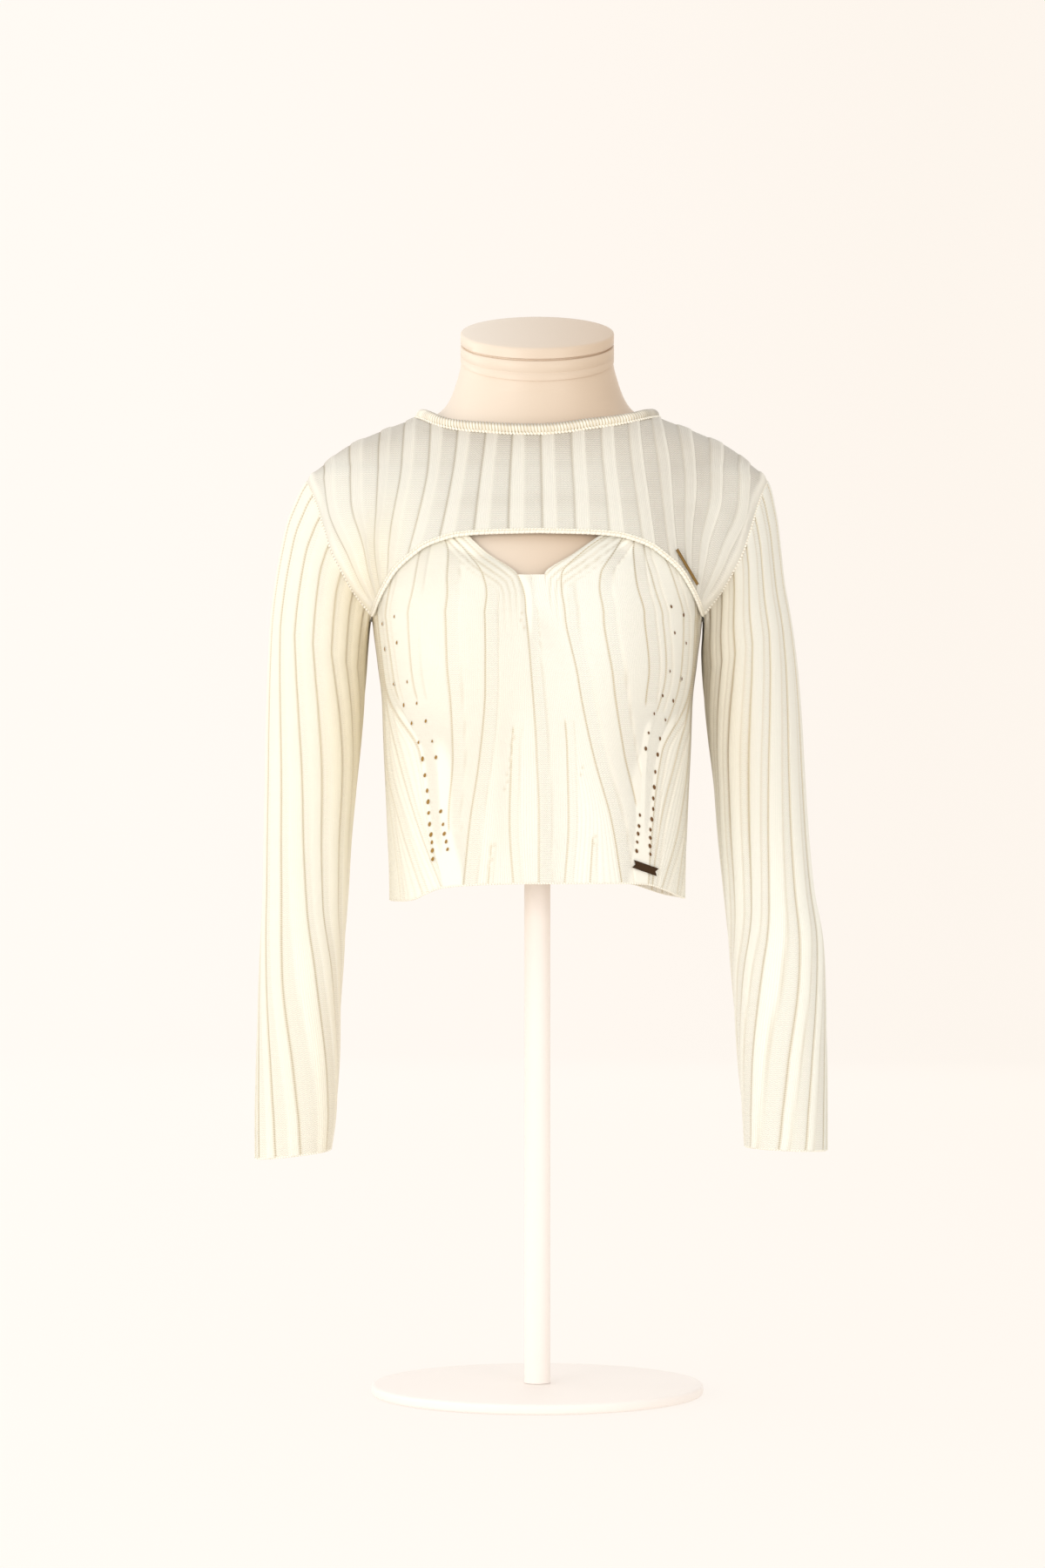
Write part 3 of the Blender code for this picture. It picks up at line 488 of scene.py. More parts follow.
def through(knots, at):
    """A smooth curve through points along the first axis, read at fractional rows."""
    at = np.clip(at, 0, len(knots) - 1)
    i = np.minimum(at.astype(int), len(knots) - 2)
    t = (at - i).reshape(-1, *[1] * (knots.ndim - 1))
    p0, p1 = knots[np.maximum(i - 1, 0)], knots[i]
    p2, p3 = knots[i + 1], knots[np.minimum(i + 2, len(knots) - 1)]
    m1, m2 = (p2 - p0) / 2, (p3 - p1) / 2
    return (
        p1 * (1 + 2 * t) * (1 - t) ** 2 + p2 * t * t * (3 - 2 * t)
        + m1 * t * (1 - t) ** 2 - m2 * t * t * (1 - t)
    )


# ---- meshes ------------------------------------------------------------------------------------------
def sheet_of(name, patches, finish):
    """One mesh from grids of points in mm. Each grid may carry stitch maps, two values a point, which
    go to UV maps, and marks, one value a point, which go to attributes. Edges that meet are joined."""
    points, quads, count = [], [], 0
    maps, marks = {}, {}
    for patch in patches:
        grid = patch["points"]
        rows, columns = grid.shape[:2]
        index = np.arange(rows * columns).reshape(rows, columns) + count
        corners = [index[:-1, :-1], index[:-1, 1:], index[1:, 1:], index[1:, :-1]]
        quads.append(np.stack(corners, axis=-1).reshape(-1, 4))
        points.append(grid.reshape(-1, 3))
        count += rows * columns
        for key, value in patch.get("maps", {}).items():
            maps.setdefault(key, []).append(value.reshape(-1, 2))
        for key, value in patch.get("marks", {}).items():
            marks.setdefault(key, []).append(np.broadcast_to(value, (rows, columns)).reshape(-1))
    points = np.concatenate(points) * MM
    quads = np.concatenate(quads)
    mesh = bpy.data.meshes.new(name)
    mesh.vertices.add(len(points))
    mesh.vertices.foreach_set("co", points.astype(np.float32).ravel())
    mesh.loops.add(quads.size)
    mesh.loops.foreach_set("vertex_index", quads.astype(np.int32).ravel())
    mesh.polygons.add(len(quads))
    mesh.polygons.foreach_set("loop_start", np.arange(0, quads.size, 4, dtype=np.int32))
    mesh.update(calc_edges=True)
    for key, parts in maps.items():
        layer = mesh.uv_layers.new(name=key)
        layer.uv.foreach_set("vector", np.concatenate(parts)[quads.ravel()].astype(np.float32).ravel())
    for key, parts in marks.items():
        layer = mesh.attributes.new(key, "FLOAT", "POINT")
        layer.data.foreach_set("value", np.concatenate(parts).astype(np.float32))
    made = bpy.data.objects.new(name, mesh)
    bpy.context.scene.collection.objects.link(made)
    mesh.materials.append(finish)
    join_doubles(mesh)
    mesh.validate()
    mesh.shade_smooth()
    return made


def join_doubles(mesh, reach=0.00002):
    """Joins points on a mesh's edges that lie within reach of each other, in metres."""
    work = bmesh.new()
    work.from_mesh(mesh)
    edge_points = [v for v in work.verts if v.is_boundary]
    bmesh.ops.remove_doubles(work, verts=edge_points, dist=reach)
    bmesh.ops.dissolve_degenerate(work, dist=1e-7, edges=work.edges)
    work.to_mesh(mesh)
    work.free()


def facing_out(made, away_from):
    """Turns a sheet's faces so that they point away from a place, in mm."""
    mesh = made.data
    normals = np.empty(len(mesh.polygons) * 3, np.float32)
    centres = np.empty(len(mesh.polygons) * 3, np.float32)
    mesh.polygons.foreach_get("normal", normals)
    mesh.polygons.foreach_get("center", centres)
    lean = (centres.reshape(-1, 3) - np.array(away_from) * MM) * normals.reshape(-1, 3)
    if lean.sum() < 0:
        mesh.flip_normals()
    return made


def cap_ends(made):
    """Closes a sheet's open ends with flat faces."""
    work = bmesh.new()
    work.from_mesh(made.data)
    edges = [e for e in work.edges if e.is_boundary]
    if edges:
        bmesh.ops.holes_fill(work, edges=edges)
    bmesh.ops.recalc_face_normals(work, faces=work.faces)
    work.to_mesh(made.data)
    work.free()
    return made


def turned_in(patch, rows, steps, at_start=False):
    """A patch with an edge that turns in: more rows of points, with how far the stitches of each run
    on from those of the edge. The new rows have the edge's own marks."""
    edge = slice(0, 1) if at_start else slice(-1, None)
    stitches = patch["maps"]["Stitches"]

    def grown(values, more):
        return np.concatenate([*more, values] if at_start else [values, *more])

    return {
        "points": grown(patch["points"], rows),
        "maps": {"Stitches": grown(stitches, [stitches[edge] + (0, step) for step in steps])},
        "marks": {key: grown(value, [value[edge]] * len(rows)) for key, value in patch["marks"].items()},
    }


def looped(values, closed=True):
    """The same rows, with the first one again at the end where they close."""
    return np.concatenate([values, values[:1]]) if closed else values


def running_length(path, closed=False):
    """The length run at each point of a path, and the whole length. A grid gives one for each column."""
    steps = np.linalg.norm(np.diff(path, axis=0), axis=-1)
    run = np.concatenate([np.zeros_like(steps[:1]), np.cumsum(steps, axis=0)])
    return (run, run[-1] + np.linalg.norm(path[0] - path[-1])) if closed else (run, run[-1])


def evenly(path, spacing, closed=False):
    """The path again, with points a given distance apart."""
    path = looped(path, closed)
    run, total = running_length(path)
    at = np.linspace(0, total, max(int(round(total / spacing)), 4) + 1)
    if closed:
        at = at[:-1]
    return np.stack([np.interp(at, run, path[:, k]) for k in range(3)], axis=-1)


def way_round(path):
    """The unit way along each point of a closed path."""
    return unit(np.roll(path, -1, axis=0) - np.roll(path, 1, axis=0))


# ---- materials ---------------------------------------------------------------------------------------
def feed(tree, node, inputs):
    """Gives a node's inputs, by name or number, another node's output or a value of their own."""
    for key, value in inputs.items():
        if isinstance(value, bpy.types.NodeSocket):
            tree.links.new(value, node.inputs[key])
        else:
            node.inputs[key].default_value = value


def add(tree, kind, inputs=(), out=0, **settings):
    """Adds one node with its settings and inputs, in order or by name, and returns one output."""
    node = tree.nodes.new("ShaderNode" + kind)
    for key, value in settings.items():
        setattr(node, key, value)
    feed(tree, node, inputs if isinstance(inputs, dict) else dict(enumerate(inputs)))
    return node.outputs[out]


def new_material(name):
    """A new material with its node tree and shader."""
    made = bpy.data.materials.new(name)
    made.use_nodes = True
    return made, made.node_tree, made.node_tree.nodes["Principled BSDF"]


def stitch_heights(tree, wale, course):
    """Heights 0 to 1 of plain stitches, a column of Vs, and of purl stitches, rows of bumps, and a
    value that swings from 0 to 1 once a row. A wale is one column and a course one row, in mm."""
    split = add(tree, "SeparateXYZ", [add(tree, "UVMap", uv_map="Stitches")]).node
    across = add(tree, "Math", (split.outputs[0], wale), operation="DIVIDE")
    up = add(tree, "Math", (split.outputs[1], course), operation="DIVIDE")
    column = add(tree, "Math", [across], operation="FRACT")
    column = add(tree, "Math", (column, 0.5), operation="SUBTRACT")
    from_middle = add(tree, "Math", [column], operation="ABSOLUTE")
    leg = add(tree, "Math", (from_middle, 4.0), operation="MULTIPLY")
    leg = add(tree, "Math", (leg, 1.0), operation="PINGPONG")
    slanted = add(tree, "Math", (from_middle, 1.6, up), operation="MULTIPLY_ADD")
    slanted = add(tree, "Math", [slanted], operation="FRACT")
    along = add(tree, "Math", (slanted, 2.0), operation="MULTIPLY")
    along = add(tree, "Math", (along, 1.0), operation="PINGPONG")
    along = add(tree, "Math", (along, 0.45, 0.55), operation="MULTIPLY_ADD")
    rounded = add(tree, "Math", (leg, 0.6), operation="POWER")
    plain = add(tree, "Math", (rounded, along), operation="MULTIPLY")
    # Each purl bump arches across its column, so its row waves.
    wave = add(tree, "Math", (across, 2 * math.pi), operation="MULTIPLY")
    wave = add(tree, "Math", [wave], operation="COSINE")
    shifted = add(tree, "Math", (wave, 0.22, up), operation="MULTIPLY_ADD")
    swings = []
    for turns in (shifted, up):
        swing = add(tree, "Math", (turns, 2 * math.pi), operation="MULTIPLY")
        swing = add(tree, "Math", [swing], operation="COSINE")
        swings.append(add(tree, "Math", (swing, 0.5, 0.5), operation="MULTIPLY_ADD"))
    return (plain, *swings)


def rib_knit(name, knit):
    """Cotton and viscose yarn knitted in a wide rib: matte, with a faint halo of fibre. Raised bands
    show columns of Vs, and the recessed ones between show purl bumps and lie in a soft grey shade."""
    made, tree, shader = new_material(name)
    plain, purl, rows = stitch_heights(tree, knit.stitch_width / MM, knit.stitch_height / MM)
    recess, line, shine, shade, painted_warmth, calm, grey, brown = (
        add(tree, "Attribute", out="Fac", attribute_name=mark)
        for mark in ("recess", "line", "lit_edge", "shade", "painted_warmth", "calm", "grey_shadow_line", "brown_groove_shade")
    )
    place = add(tree, "TexCoord", out="Object")
    # Tone drifts over about 26 mm, and fibres are drawn at about 0.7 mm, coarser than real ones.
    drift = add(tree, "TexNoise", {"Vector": place, "Scale": 38.0, "Detail": 3.0, "Roughness": 0.6})
    fibre = add(tree, "TexNoise", {"Vector": place, "Scale": 1500.0, "Detail": 2.0, "Roughness": 0.7})

    knitted = add(tree, "Mix", {0: recess, 2: plain, 3: purl}, data_type="FLOAT")
    # Where ribs crowd together the stitches are drawn in, and show as smooth cloth.
    height = add(tree, "Mix", {0: calm, 2: knitted, 3: 0.65}, data_type="FLOAT")
    patchy = add(tree, "Math", (drift, 0.365, 0.5475), operation="MULTIPLY_ADD")
    shaded = add(tree, "Math", (shade, patchy), operation="MULTIPLY")
    # The line beside a rib is a row of gaps, one to each row of stitches, painted dark as the shadow in them.
    gap_rows = add(tree, "Math", (rows, 0.5, 0.5), operation="MULTIPLY_ADD")
    dotted = add(tree, "Math", (line, gap_rows), operation="MULTIPLY")
    bright = add(tree, "Math", (shine, 0.8), operation="MULTIPLY")
    # Over the yarn go in turn a painted warm tint, painted shade, the painted shadow of the rib lines, greyer
    # or browner where their marks say, and a painted highlight on lit edges in the edge yarn's colour.
    gap_colour, yarn = knit.line_colour, knit.raised_colour
    for share, over in ((grey, knit.deep_line_colour), (brown, knit.deep_hole_colour)):
        gap_colour = add(tree, "Mix", {0: share, 6: gap_colour, 7: over}, 2, data_type="RGBA")
    for share, over in (
        (painted_warmth, knit.painted_warmth_colour),
        (shaded, knit.shade_colour),
        (dotted, gap_colour),
        (bright, knit.edge_colour),
    ):
        yarn = add(tree, "Mix", {0: share, 6: yarn, 7: over}, 2, data_type="RGBA")
    # Between the stitches the yarn lies in shade, and the whole cloth drifts a little in tone.
    hollow = add(tree, "Math", (recess, shaded), operation="MULTIPLY")
    depth = add(tree, "Math", (hollow, 0.11, 0.17), operation="MULTIPLY_ADD")
    under = add(tree, "Math", (1.0, height), operation="SUBTRACT")
    under = add(tree, "Math", (under, depth), operation="MULTIPLY")
    light = add(tree, "Math", (1.03, under), operation="SUBTRACT")
    for noise, strength in ((drift, 0.05), (fibre, 0.10)):
        tone = add(tree, "Math", (noise, strength, 1 - strength / 2), operation="MULTIPLY_ADD")
        light = add(tree, "Math", (light, tone), operation="MULTIPLY")
    relief = add(tree, "Math", (fibre, 0.25, height), operation="MULTIPLY_ADD")
    feed(tree, shader, {
        "Base Color": add(tree, "VectorMath", {0: yarn, "Scale": light}, operation="SCALE"),
        "Normal": add(tree, "Bump", {"Height": relief, "Strength": 0.7, "Distance": 0.0006}),
        "Roughness": 0.88,
        "Specular IOR Level": 0.25,
        "Sheen Weight": 0.12,
        "Sheen Roughness": 0.6,
    })
    return made


def linked_edge(name, knit):
    """The same yarn crocheted or rolled into a narrow edge: slanted fine ribs, with small shaded holes
    where each stitch goes into the cloth."""
    made, tree, shader = new_material(name)
    split = add(tree, "SeparateXYZ", [add(tree, "UVMap", uv_map="Stitches")]).node
    slant = add(tree, "Math", (split.outputs[0], knit.stitch_width / MM), operation="DIVIDE")
    slant = add(tree, "Math", (slant, split.outputs[1]), operation="ADD")
    wave = add(tree, "Math", (slant, 2 * math.pi), operation="MULTIPLY")
    wave = add(tree, "Math", [wave], operation="COSINE")
    height = add(tree, "Math", (wave, 0.5, 0.5), operation="MULTIPLY_ADD")
    line, shade, deep = (
        add(tree, "Attribute", out="Fac", attribute_name=mark) for mark in ("line", "shade", "deep")
    )
    place = add(tree, "TexCoord", out="Object")
    fibre = add(tree, "TexNoise", {"Vector": place, "Scale": 1500.0, "Detail": 2.0, "Roughness": 0.7})
    hole = add(tree, "Math", (line, 0.85), operation="MULTIPLY")
    gap_colour = add(
        tree, "Mix", {0: deep, 6: knit.line_colour, 7: knit.deep_hole_colour}, 2, data_type="RGBA"
    )
    # Painted shade greys and darkens the yarn where the shade mark says, and painted shadow fills the holes
    # between stitches, browner where deep is given.
    yarn = knit.edge_colour
    for share, over in ((shade, knit.shade_colour), (hole, gap_colour)):
        yarn = add(tree, "Mix", {0: share, 6: yarn, 7: over}, 2, data_type="RGBA")
    light = add(tree, "Math", (height, 0.14, 0.88), operation="MULTIPLY_ADD")
    for value, strength, rest in ((shade, -0.16, 1.0), (fibre, 0.08, 0.96)):
        tone = add(tree, "Math", (value, strength, rest), operation="MULTIPLY_ADD")
        light = add(tree, "Math", (light, tone), operation="MULTIPLY")
    relief = add(tree, "Math", (fibre, 0.3, height), operation="MULTIPLY_ADD")
    feed(tree, shader, {
        "Base Color": add(tree, "VectorMath", {0: yarn, "Scale": light}, operation="SCALE"),
        "Normal": add(tree, "Bump", {"Height": relief, "Strength": 0.6, "Distance": 0.0005}),
        "Roughness": 0.85,
        "Specular IOR Level": 0.25,
        "Sheen Weight": 0.12,
        "Sheen Roughness": 0.6,
    })
    return made


def shaded_hole(name, knit):
    """The dark inside of an eyelet: no light gets under the knit, so it shows as flat brown shade."""
    made, tree, shader = new_material(name)
    place = add(tree, "TexCoord", out="Object")
    specks = add(tree, "TexNoise", {"Vector": place, "Scale": 900.0, "Detail": 2.0})
    deep = add(tree, "Attribute", out="Fac", attribute_name="deep")
    shade = add(tree, "Mix", {0: deep, 6: knit.hole_colour, 7: knit.deep_hole_colour}, 2, data_type="RGBA")
    light = add(tree, "Math", (specks, 0.45), operation="ADD")
    feed(tree, shader, {
        "Base Color": add(tree, "VectorMath", {0: shade, "Scale": light}, operation="SCALE"),
        "Roughness": 1.0,
        "Specular IOR Level": 0.0,
    })
    return made


def moulded_shell(name, form):
    """Glass-reinforced plastic with a sprayed satin coat: beige with a broad soft shine, and painted shade
    that darkens it towards the right.
    """
    made, tree, shader = new_material(name)
    place = add(tree, "TexCoord", out="Object")
    drift = add(tree, "TexNoise", {"Vector": place, "Scale": 9.0, "Detail": 2.0})
    grain = add(tree, "TexNoise", {"Vector": place, "Scale": 1400.0, "Detail": 2.0})
    # Painted shade: the beige darkens towards the right, where less light falls.
    coat = add(tree, "MapRange", (add(tree, "SeparateXYZ", [place]), -0.06, 0.06, 0.0, 1.0))
    paint = add(tree, "Mix", {0: coat, 6: form.shell_colour, 7: form.shell_shade_colour}, 2, data_type="RGBA")
    light = add(tree, "Math", (drift, 0.025, 0.985), operation="MULTIPLY_ADD")
    feed(tree, shader, {
        "Base Color": add(tree, "VectorMath", {0: paint, "Scale": light}, operation="SCALE"),
        "Normal": add(tree, "Bump", {"Height": grain, "Strength": 0.08, "Distance": 0.0002}),
        "Roughness": 0.42,
        "Specular IOR Level": 0.5,
    })
    return made


def stand_paint(name, form):
    """Powder-coated steel: off-white, satin, with the coat's fine orange peel."""
    made, tree, shader = new_material(name)
    place = add(tree, "TexCoord", out="Object")
    peel = add(tree, "TexNoise", {"Vector": place, "Scale": 700.0, "Detail": 1.0})
    low = (*[c * 0.985 for c in form.stand_colour[:3]], 1)
    feed(tree, shader, {
        "Base Color": add(tree, "Mix", {0: peel, 6: low, 7: form.stand_colour}, 2, data_type="RGBA"),
        "Normal": add(tree, "Bump", {"Height": peel, "Strength": 0.1, "Distance": 0.0002}),
        "Roughness": 0.55,
    })
    return made


def struck_metal(name, colour, roughness):
    """A plated brass pressing, brushed lengthways."""
    made, tree, shader = new_material(name)
    place = add(tree, "UVMap", uv_map="Stitches")
    # The brush leaves lines about 3 mm long and 0.1 mm wide.
    stretched = add(tree, "Mapping", {"Vector": place, "Scale": (0.35, 9.0, 1.0)})
    brushed = add(tree, "TexNoise", {"Vector": stretched, "Scale": 1.0, "Detail": 4.0})
    low, high = ((*[min(c * share, 1) for c in colour[:3]], 1) for share in (0.6, 1.35))
    feed(tree, shader, {
        "Base Color": add(tree, "Mix", {0: brushed, 6: low, 7: high}, 2, data_type="RGBA"),
        "Roughness": add(tree, "Math", (brushed, 0.2, roughness), operation="MULTIPLY_ADD"),
        "Metallic": 1.0,
    })
    return made


def backdrop_paper(name, studio):
    """A seamless sweep of pale paper that is lit from behind as well, so only a soft shadow shows."""
    made, tree, shader = new_material(name)
    tree.nodes.remove(shader)
    place = add(tree, "SeparateXYZ", [add(tree, "TexCoord", out="Object")])
    # Painted shade makes the sweep a little darker towards the right.
    side = add(tree, "MapRange", (place, -0.9, 0.9, 0.0, 1.0))
    tint = add(tree, "Mix", {0: side, 6: studio.backdrop_left, 7: studio.backdrop_right}, 2, data_type="RGBA")
    glow = add(tree, "Emission", {"Color": tint, "Strength": studio.backdrop_glow})
    paper = add(tree, "BsdfDiffuse", {"Color": tint})
    feed(tree, tree.nodes["Material Output"], {0: add(tree, "MixShader", (0.18, glow, paper))})
    return made


# ---- the yoke ----------------------------------------------------------------------------------------
def ridge_z(x):
    """The height of the shoulder ridge at x: where the skin's section is just |x| wide."""
    heights = np.linspace(SHOULDER_Z, NECK_SIDE_Z, 200)
    widths = curve(SKIN, heights, "z", "half_width")
    return np.interp(np.abs(x), widths[::-1], heights[::-1])


def yoke_grid(facing, down):
    """Rib numbers, x and z of the yoke's rows and columns. down runs from 0 at the neck to 1."""
    offsets = [0.0, 0.10, 0.18, 0.225, 0.25, 0.27, 0.29, 0.32, 0.37, 0.43, 0.5]
    offsets = sorted({s * o for o in offsets for s in (1, -1)})
    ribs = around_every(range(-9, 10), offsets, YOKE_SIDES)
    down = np.asarray(down, float)
    knots = [YOKE_RIBS[name] for name in ("neck", "third", "two_thirds", "arch")]
    across = np.array([smooth(YOKE_DOWN, [k[i] for k in knots], down) for i in range(len(knots[0]))]).T
    seam_z = SHOULDER_Z + (ARM_FRONT_Z - SHOULDER_Z) * down
    seam_x = curve(ARMHOLE, seam_z, "z", "x")
    knot_ribs = np.concatenate([[YOKE_SIDES[0]], YOKE_RIBS["rib"], [YOKE_SIDES[1]]])
    x = np.array([
        smooth(knot_ribs, np.concatenate([[-seam], row, [seam]]), ribs) for seam, row in zip(seam_x, across)
    ])
    neck, arch = (NECK_FRONT, ARCH_FRONT) if facing < 0 else (NECK_BACK, ARCH_BACK)
    ends = np.array([
        smooth(knot_ribs, np.concatenate([[-reach], knots[row], [reach]]), ribs)
        for row, reach in ((0, 188.1), (3, 134.5))
    ])
    top_z = np.where(np.abs(ends[0]) < NECK_HALF_WIDTH, curve(neck, ends[0]), ridge_z(ends[0]))
    bottom_z = curve(arch, np.abs(ends[1]))
    z = top_z + (bottom_z - top_z) * down[:, None]
    return ribs, x, z


def yoke_relief(ribs, x, down):
    """How far the rib relief stands off the solid's face, and the marks that colour it."""
    off = ribs - np.round(ribs)
    left = eased(4.0, -1.0, ribs)
    # A recessed band ends sharply at a line on its right. On its left it eases into the raised band,
    # slowly on the left half of the yoke and at a bright corner on the right half.
    soft = 0.03 + 0.11 * left
    inside = eased(-YOKE_BAND - soft, -YOKE_BAND + 0.5 * soft, off)
    inside = inside * eased(YOKE_BAND + 0.035, YOKE_BAND - 0.03, off)
    crown = 1 - ((0.5 - np.abs(off)) / 0.23) ** 2
    height = (0.25 + 0.3 * crown * (inside < 0.5)) * (1 - inside) - 0.45 * inside
    groove = np.exp(-(((off - YOKE_BAND) * YOKE_PITCH / 0.95) ** 2))
    corner = np.exp(-(((off + YOKE_BAND + 0.06) * YOKE_PITCH / 1.2) ** 2))
    far_left = eased(-3.0, -6.0, ribs)
    # Painted shadow darkens the line at each band's right edge, more on the left half, and a painted
    # highlight lies on the corner at its left edge, more on the right half.
    line = (0.3 + 0.45 * left) * groove
    lit = (0.6 - 0.25 * left) * corner
    height = height - 0.45 * groove * (0.4 + 0.6 * left) + 0.2 * lit
    # The cloth lies in shade under the neck edge and on the right, with the recessed bands deeper than
    # the raised ones, and catches more light low on the left.
    down = down[:, None]
    low = eased(0.3, 0.85, down)
    outer, right = eased(-1.5, -5.0, ribs)[None, :], eased(2.0, 4.5, ribs)[None, :]
    edge_of_right = eased(5.5, 7.5, ribs)[None, :]
    under_neck = np.exp(-down / 0.2) * eased(7.5, 5.5, np.abs(ribs))[None, :]
    shoulder = np.exp(-down / 0.1) * eased(3.5, 6.0, np.abs(ribs))[None, :]
    patch = np.exp(-(((down - 0.7) / 0.08) ** 2)) * (1 - outer) * (1 - right)
    # The shade is painted: deeper under the neck edge, over the shoulder tops, on the right and in a second
    # band across the middle, and lighter low on the left and towards both far sides.
    deep = (
        0.68 + 1.1 * under_neck + 0.16 * patch - outer * (0.15 + 0.38 * low) - 0.15 * far_left
        + 0.9 * shoulder + right * (0.45 - 0.7 * under_neck) - 0.35 * edge_of_right
    )
    shallow = (
        0.48 + 0.85 * under_neck + 0.06 * patch - 0.27 * outer * low + 0.8 * shoulder
        + right * (0.5 - 0.1 * low - 0.45 * under_neck) - 0.35 * edge_of_right
    )
    # Low on the right both lie in nearly the same shade, parted by thin lines.
    lower_right = (eased(3.5, 5.5, ribs)[None, :] * eased(0.25, 0.8, down)) * 0.75
    even = 0.9 - 0.3 * edge_of_right
    deep = deep + (even + 0.08 - deep) * lower_right
    shallow = shallow + (even - 0.05 - shallow) * lower_right
    shade = np.clip(shallow + (deep - shallow) * inside, 0, 1.7)
    # A smooth ridge runs beside the armhole, where the yoke is linked to the sleeve, with a painted highlight
    # along it.
    to_edge = np.minimum(np.abs(x - x[:, :1]), np.abs(x - x[:, -1:]))
    ridge = np.exp(-(((to_edge - 2.2) / 1.5) ** 2))
    plain = eased(4.5, 2.5, to_edge)
    return (
        height * (1 - plain) + 0.75 * ridge,
        {
            "recess": inside * (1 - plain),
            "line": np.clip(line * (1 - plain) * (1 + 0.5 * shoulder), 0, 1),
            "lit_edge": np.maximum(lit * (1 - plain), ridge * 0.8),
            "shade": shade,
            # The lines' painted shadow is greyer, less so low on the left, and low at the far left the yarn
            # takes a painted warm tint.
            "grey_shadow_line": np.broadcast_to(0.75 - 0.5 * outer * low, x.shape),
            "painted_warmth": np.broadcast_to(0.35 * far_left * low, x.shape),
        },
    )


def knit_yoke(facing, finish):
    """The yoke's front or back as one ribbed sheet."""
    name = "yoke_front_knit" if facing < 0 else "yoke_back_knit"
    # Rows lie closer together near the neck.
    down = np.linspace(0, 1, 90) ** 1.1
    ribs, x, z = yoke_grid(facing, down)
    skin = skin_points(x, z, facing)
    # Front and back meet along the shoulders.
    ridge = np.abs(x[0]) >= NECK_HALF_WIDTH
    skin[0, ridge, 1] = section(z[0, ridge])[3]
    height, marks = yoke_relief(ribs, x, down)
    folds = YOKE_FOLDS if facing < 0 else ()
    lift = YOKE_OUTER + height + fold_height(x, z, folds)
    points = skin + outward(skin) * lift[..., None]
    # Rows of stitches lie level at 740 and keep their true height up to the shoulders.
    down_mm, _ = running_length(skin)
    at_740 = np.array([np.interp(-740, -z[:, c], down_mm[:, c]) for c in range(len(ribs))])
    stitches = np.stack([np.broadcast_to(ribs * YOKE_PITCH, x.shape), down_mm - at_740], axis=-1)
    # The arched edge turns in behind its cord.
    out = unit(points[-1:] - skin[-1:])
    onwards = unit(points[-1:] - points[-2:-1])
    rows = [points[-1:] + onwards * reach - out * depth for reach, depth in ((0.4, 0.5), (0.5, 1.6))]
    patch = {"points": points, "maps": {"Stitches": stitches}, "marks": marks}
    return facing_out(sheet_of(name, [turned_in(patch, rows, (0.5, 1.6))], finish), (0, 5, 740))


def yoke_skin_edge(facing, down):
    """Skin points of one row of the yoke, and of a row just inside it, for the tubes along its edges."""
    step = 0.02 if down == 0 else -0.02
    _, x, z = yoke_grid(facing, [down, down + step])
    return skin_points(x[0], z[0], facing), skin_points(x[1], z[1], facing)


# ---- the inner top -----------------------------------------------------------------------------------
def angle_at(x, z, reach):
    """An x as an angle round the half section, -90 to 90 degrees at the sides."""
    square = curve(SKIN, z, "z", "square")
    share = np.clip(np.abs(x) / reach, 0, 1)
    return np.sign(x) * np.arcsin(share ** (square / 2))


def x_at(angle, z):
    """The x of such an angle at height z."""
    square = curve(SKIN, z, "z", "square")
    reach = np.minimum(curve(SKIN, z, "z", "half_width"), TOP_SPAN)
    return np.sign(angle) * reach * np.abs(np.sin(angle)) ** (2 / square)


def top_angles(ribs, z):
    """The numbers of the drawn ribs and their angles at heights z, a row for each. Where the ribs part
    round the neckline, they are read on one side of it alone."""
    heights = np.array(TOP_HEIGHTS)
    reach = np.minimum(curve(SKIN, heights, "z", "half_width"), TOP_SPAN)
    left_side = np.max(ribs) <= V_LEFT
    right_side = np.min(ribs) >= V_RIGHT
    rows = [row for row in TOP_RIBS if FLOOR not in row or not (left_side or right_side)]
    if left_side:
        rows = [row for row in rows if row[0] <= V_LEFT]
    if right_side:
        rows = [row for row in rows if row[0] >= V_RIGHT]
    numbers, knots = [], []
    for number, *places in rows:
        known = [place is not FLOOR for place in places]
        limit = reach[known] * 0.999
        places = np.clip([place for place in places if place is not FLOOR], -limit, limit)
        numbers.append(number)
        knots.append(smooth(heights[known], angle_at(places, heights[known], reach[known]), z))
    if not right_side:
        numbers.insert(0, TOP_SIDES[0])
        knots.insert(0, np.full(np.shape(z), -math.pi / 2))
    if not left_side:
        numbers.append(TOP_SIDES[1])
        knots.append(np.full(np.shape(z), math.pi / 2))
    knots = np.array(knots)
    # Crowded lines keep a small distance from each other.
    for i in range(1, len(knots)):
        knots[i] = np.maximum(knots[i], knots[i - 1] + 0.004)
    if not left_side:
        knots = np.minimum(knots, math.pi / 2)
    return numbers, knots


def top_place(ribs, z):
    """x of each rib at its own height: z has a row for each level and a column for each rib."""
    x = np.empty(z.shape)
    flat_z = np.linspace(405, 745, 341)
    numbers, knots = top_angles(ribs, flat_z)
    lines = np.array([smooth(numbers, knots[:, k], ribs) for k in range(len(flat_z))])
    for c in range(len(ribs)):
        x[:, c] = x_at(np.interp(z[:, c], flat_z, lines[:, c]), z[:, c])
    return x


def back_place(ribs, z):
    """x of the back's ribs, which stand evenly round it and lean in a little towards the waist."""
    share = (ribs - sum(TOP_SIDES) / 2) / ((TOP_SIDES[1] - TOP_SIDES[0]) / 2)
    return x_at(np.broadcast_to(share * math.pi / 2, z.shape), z)


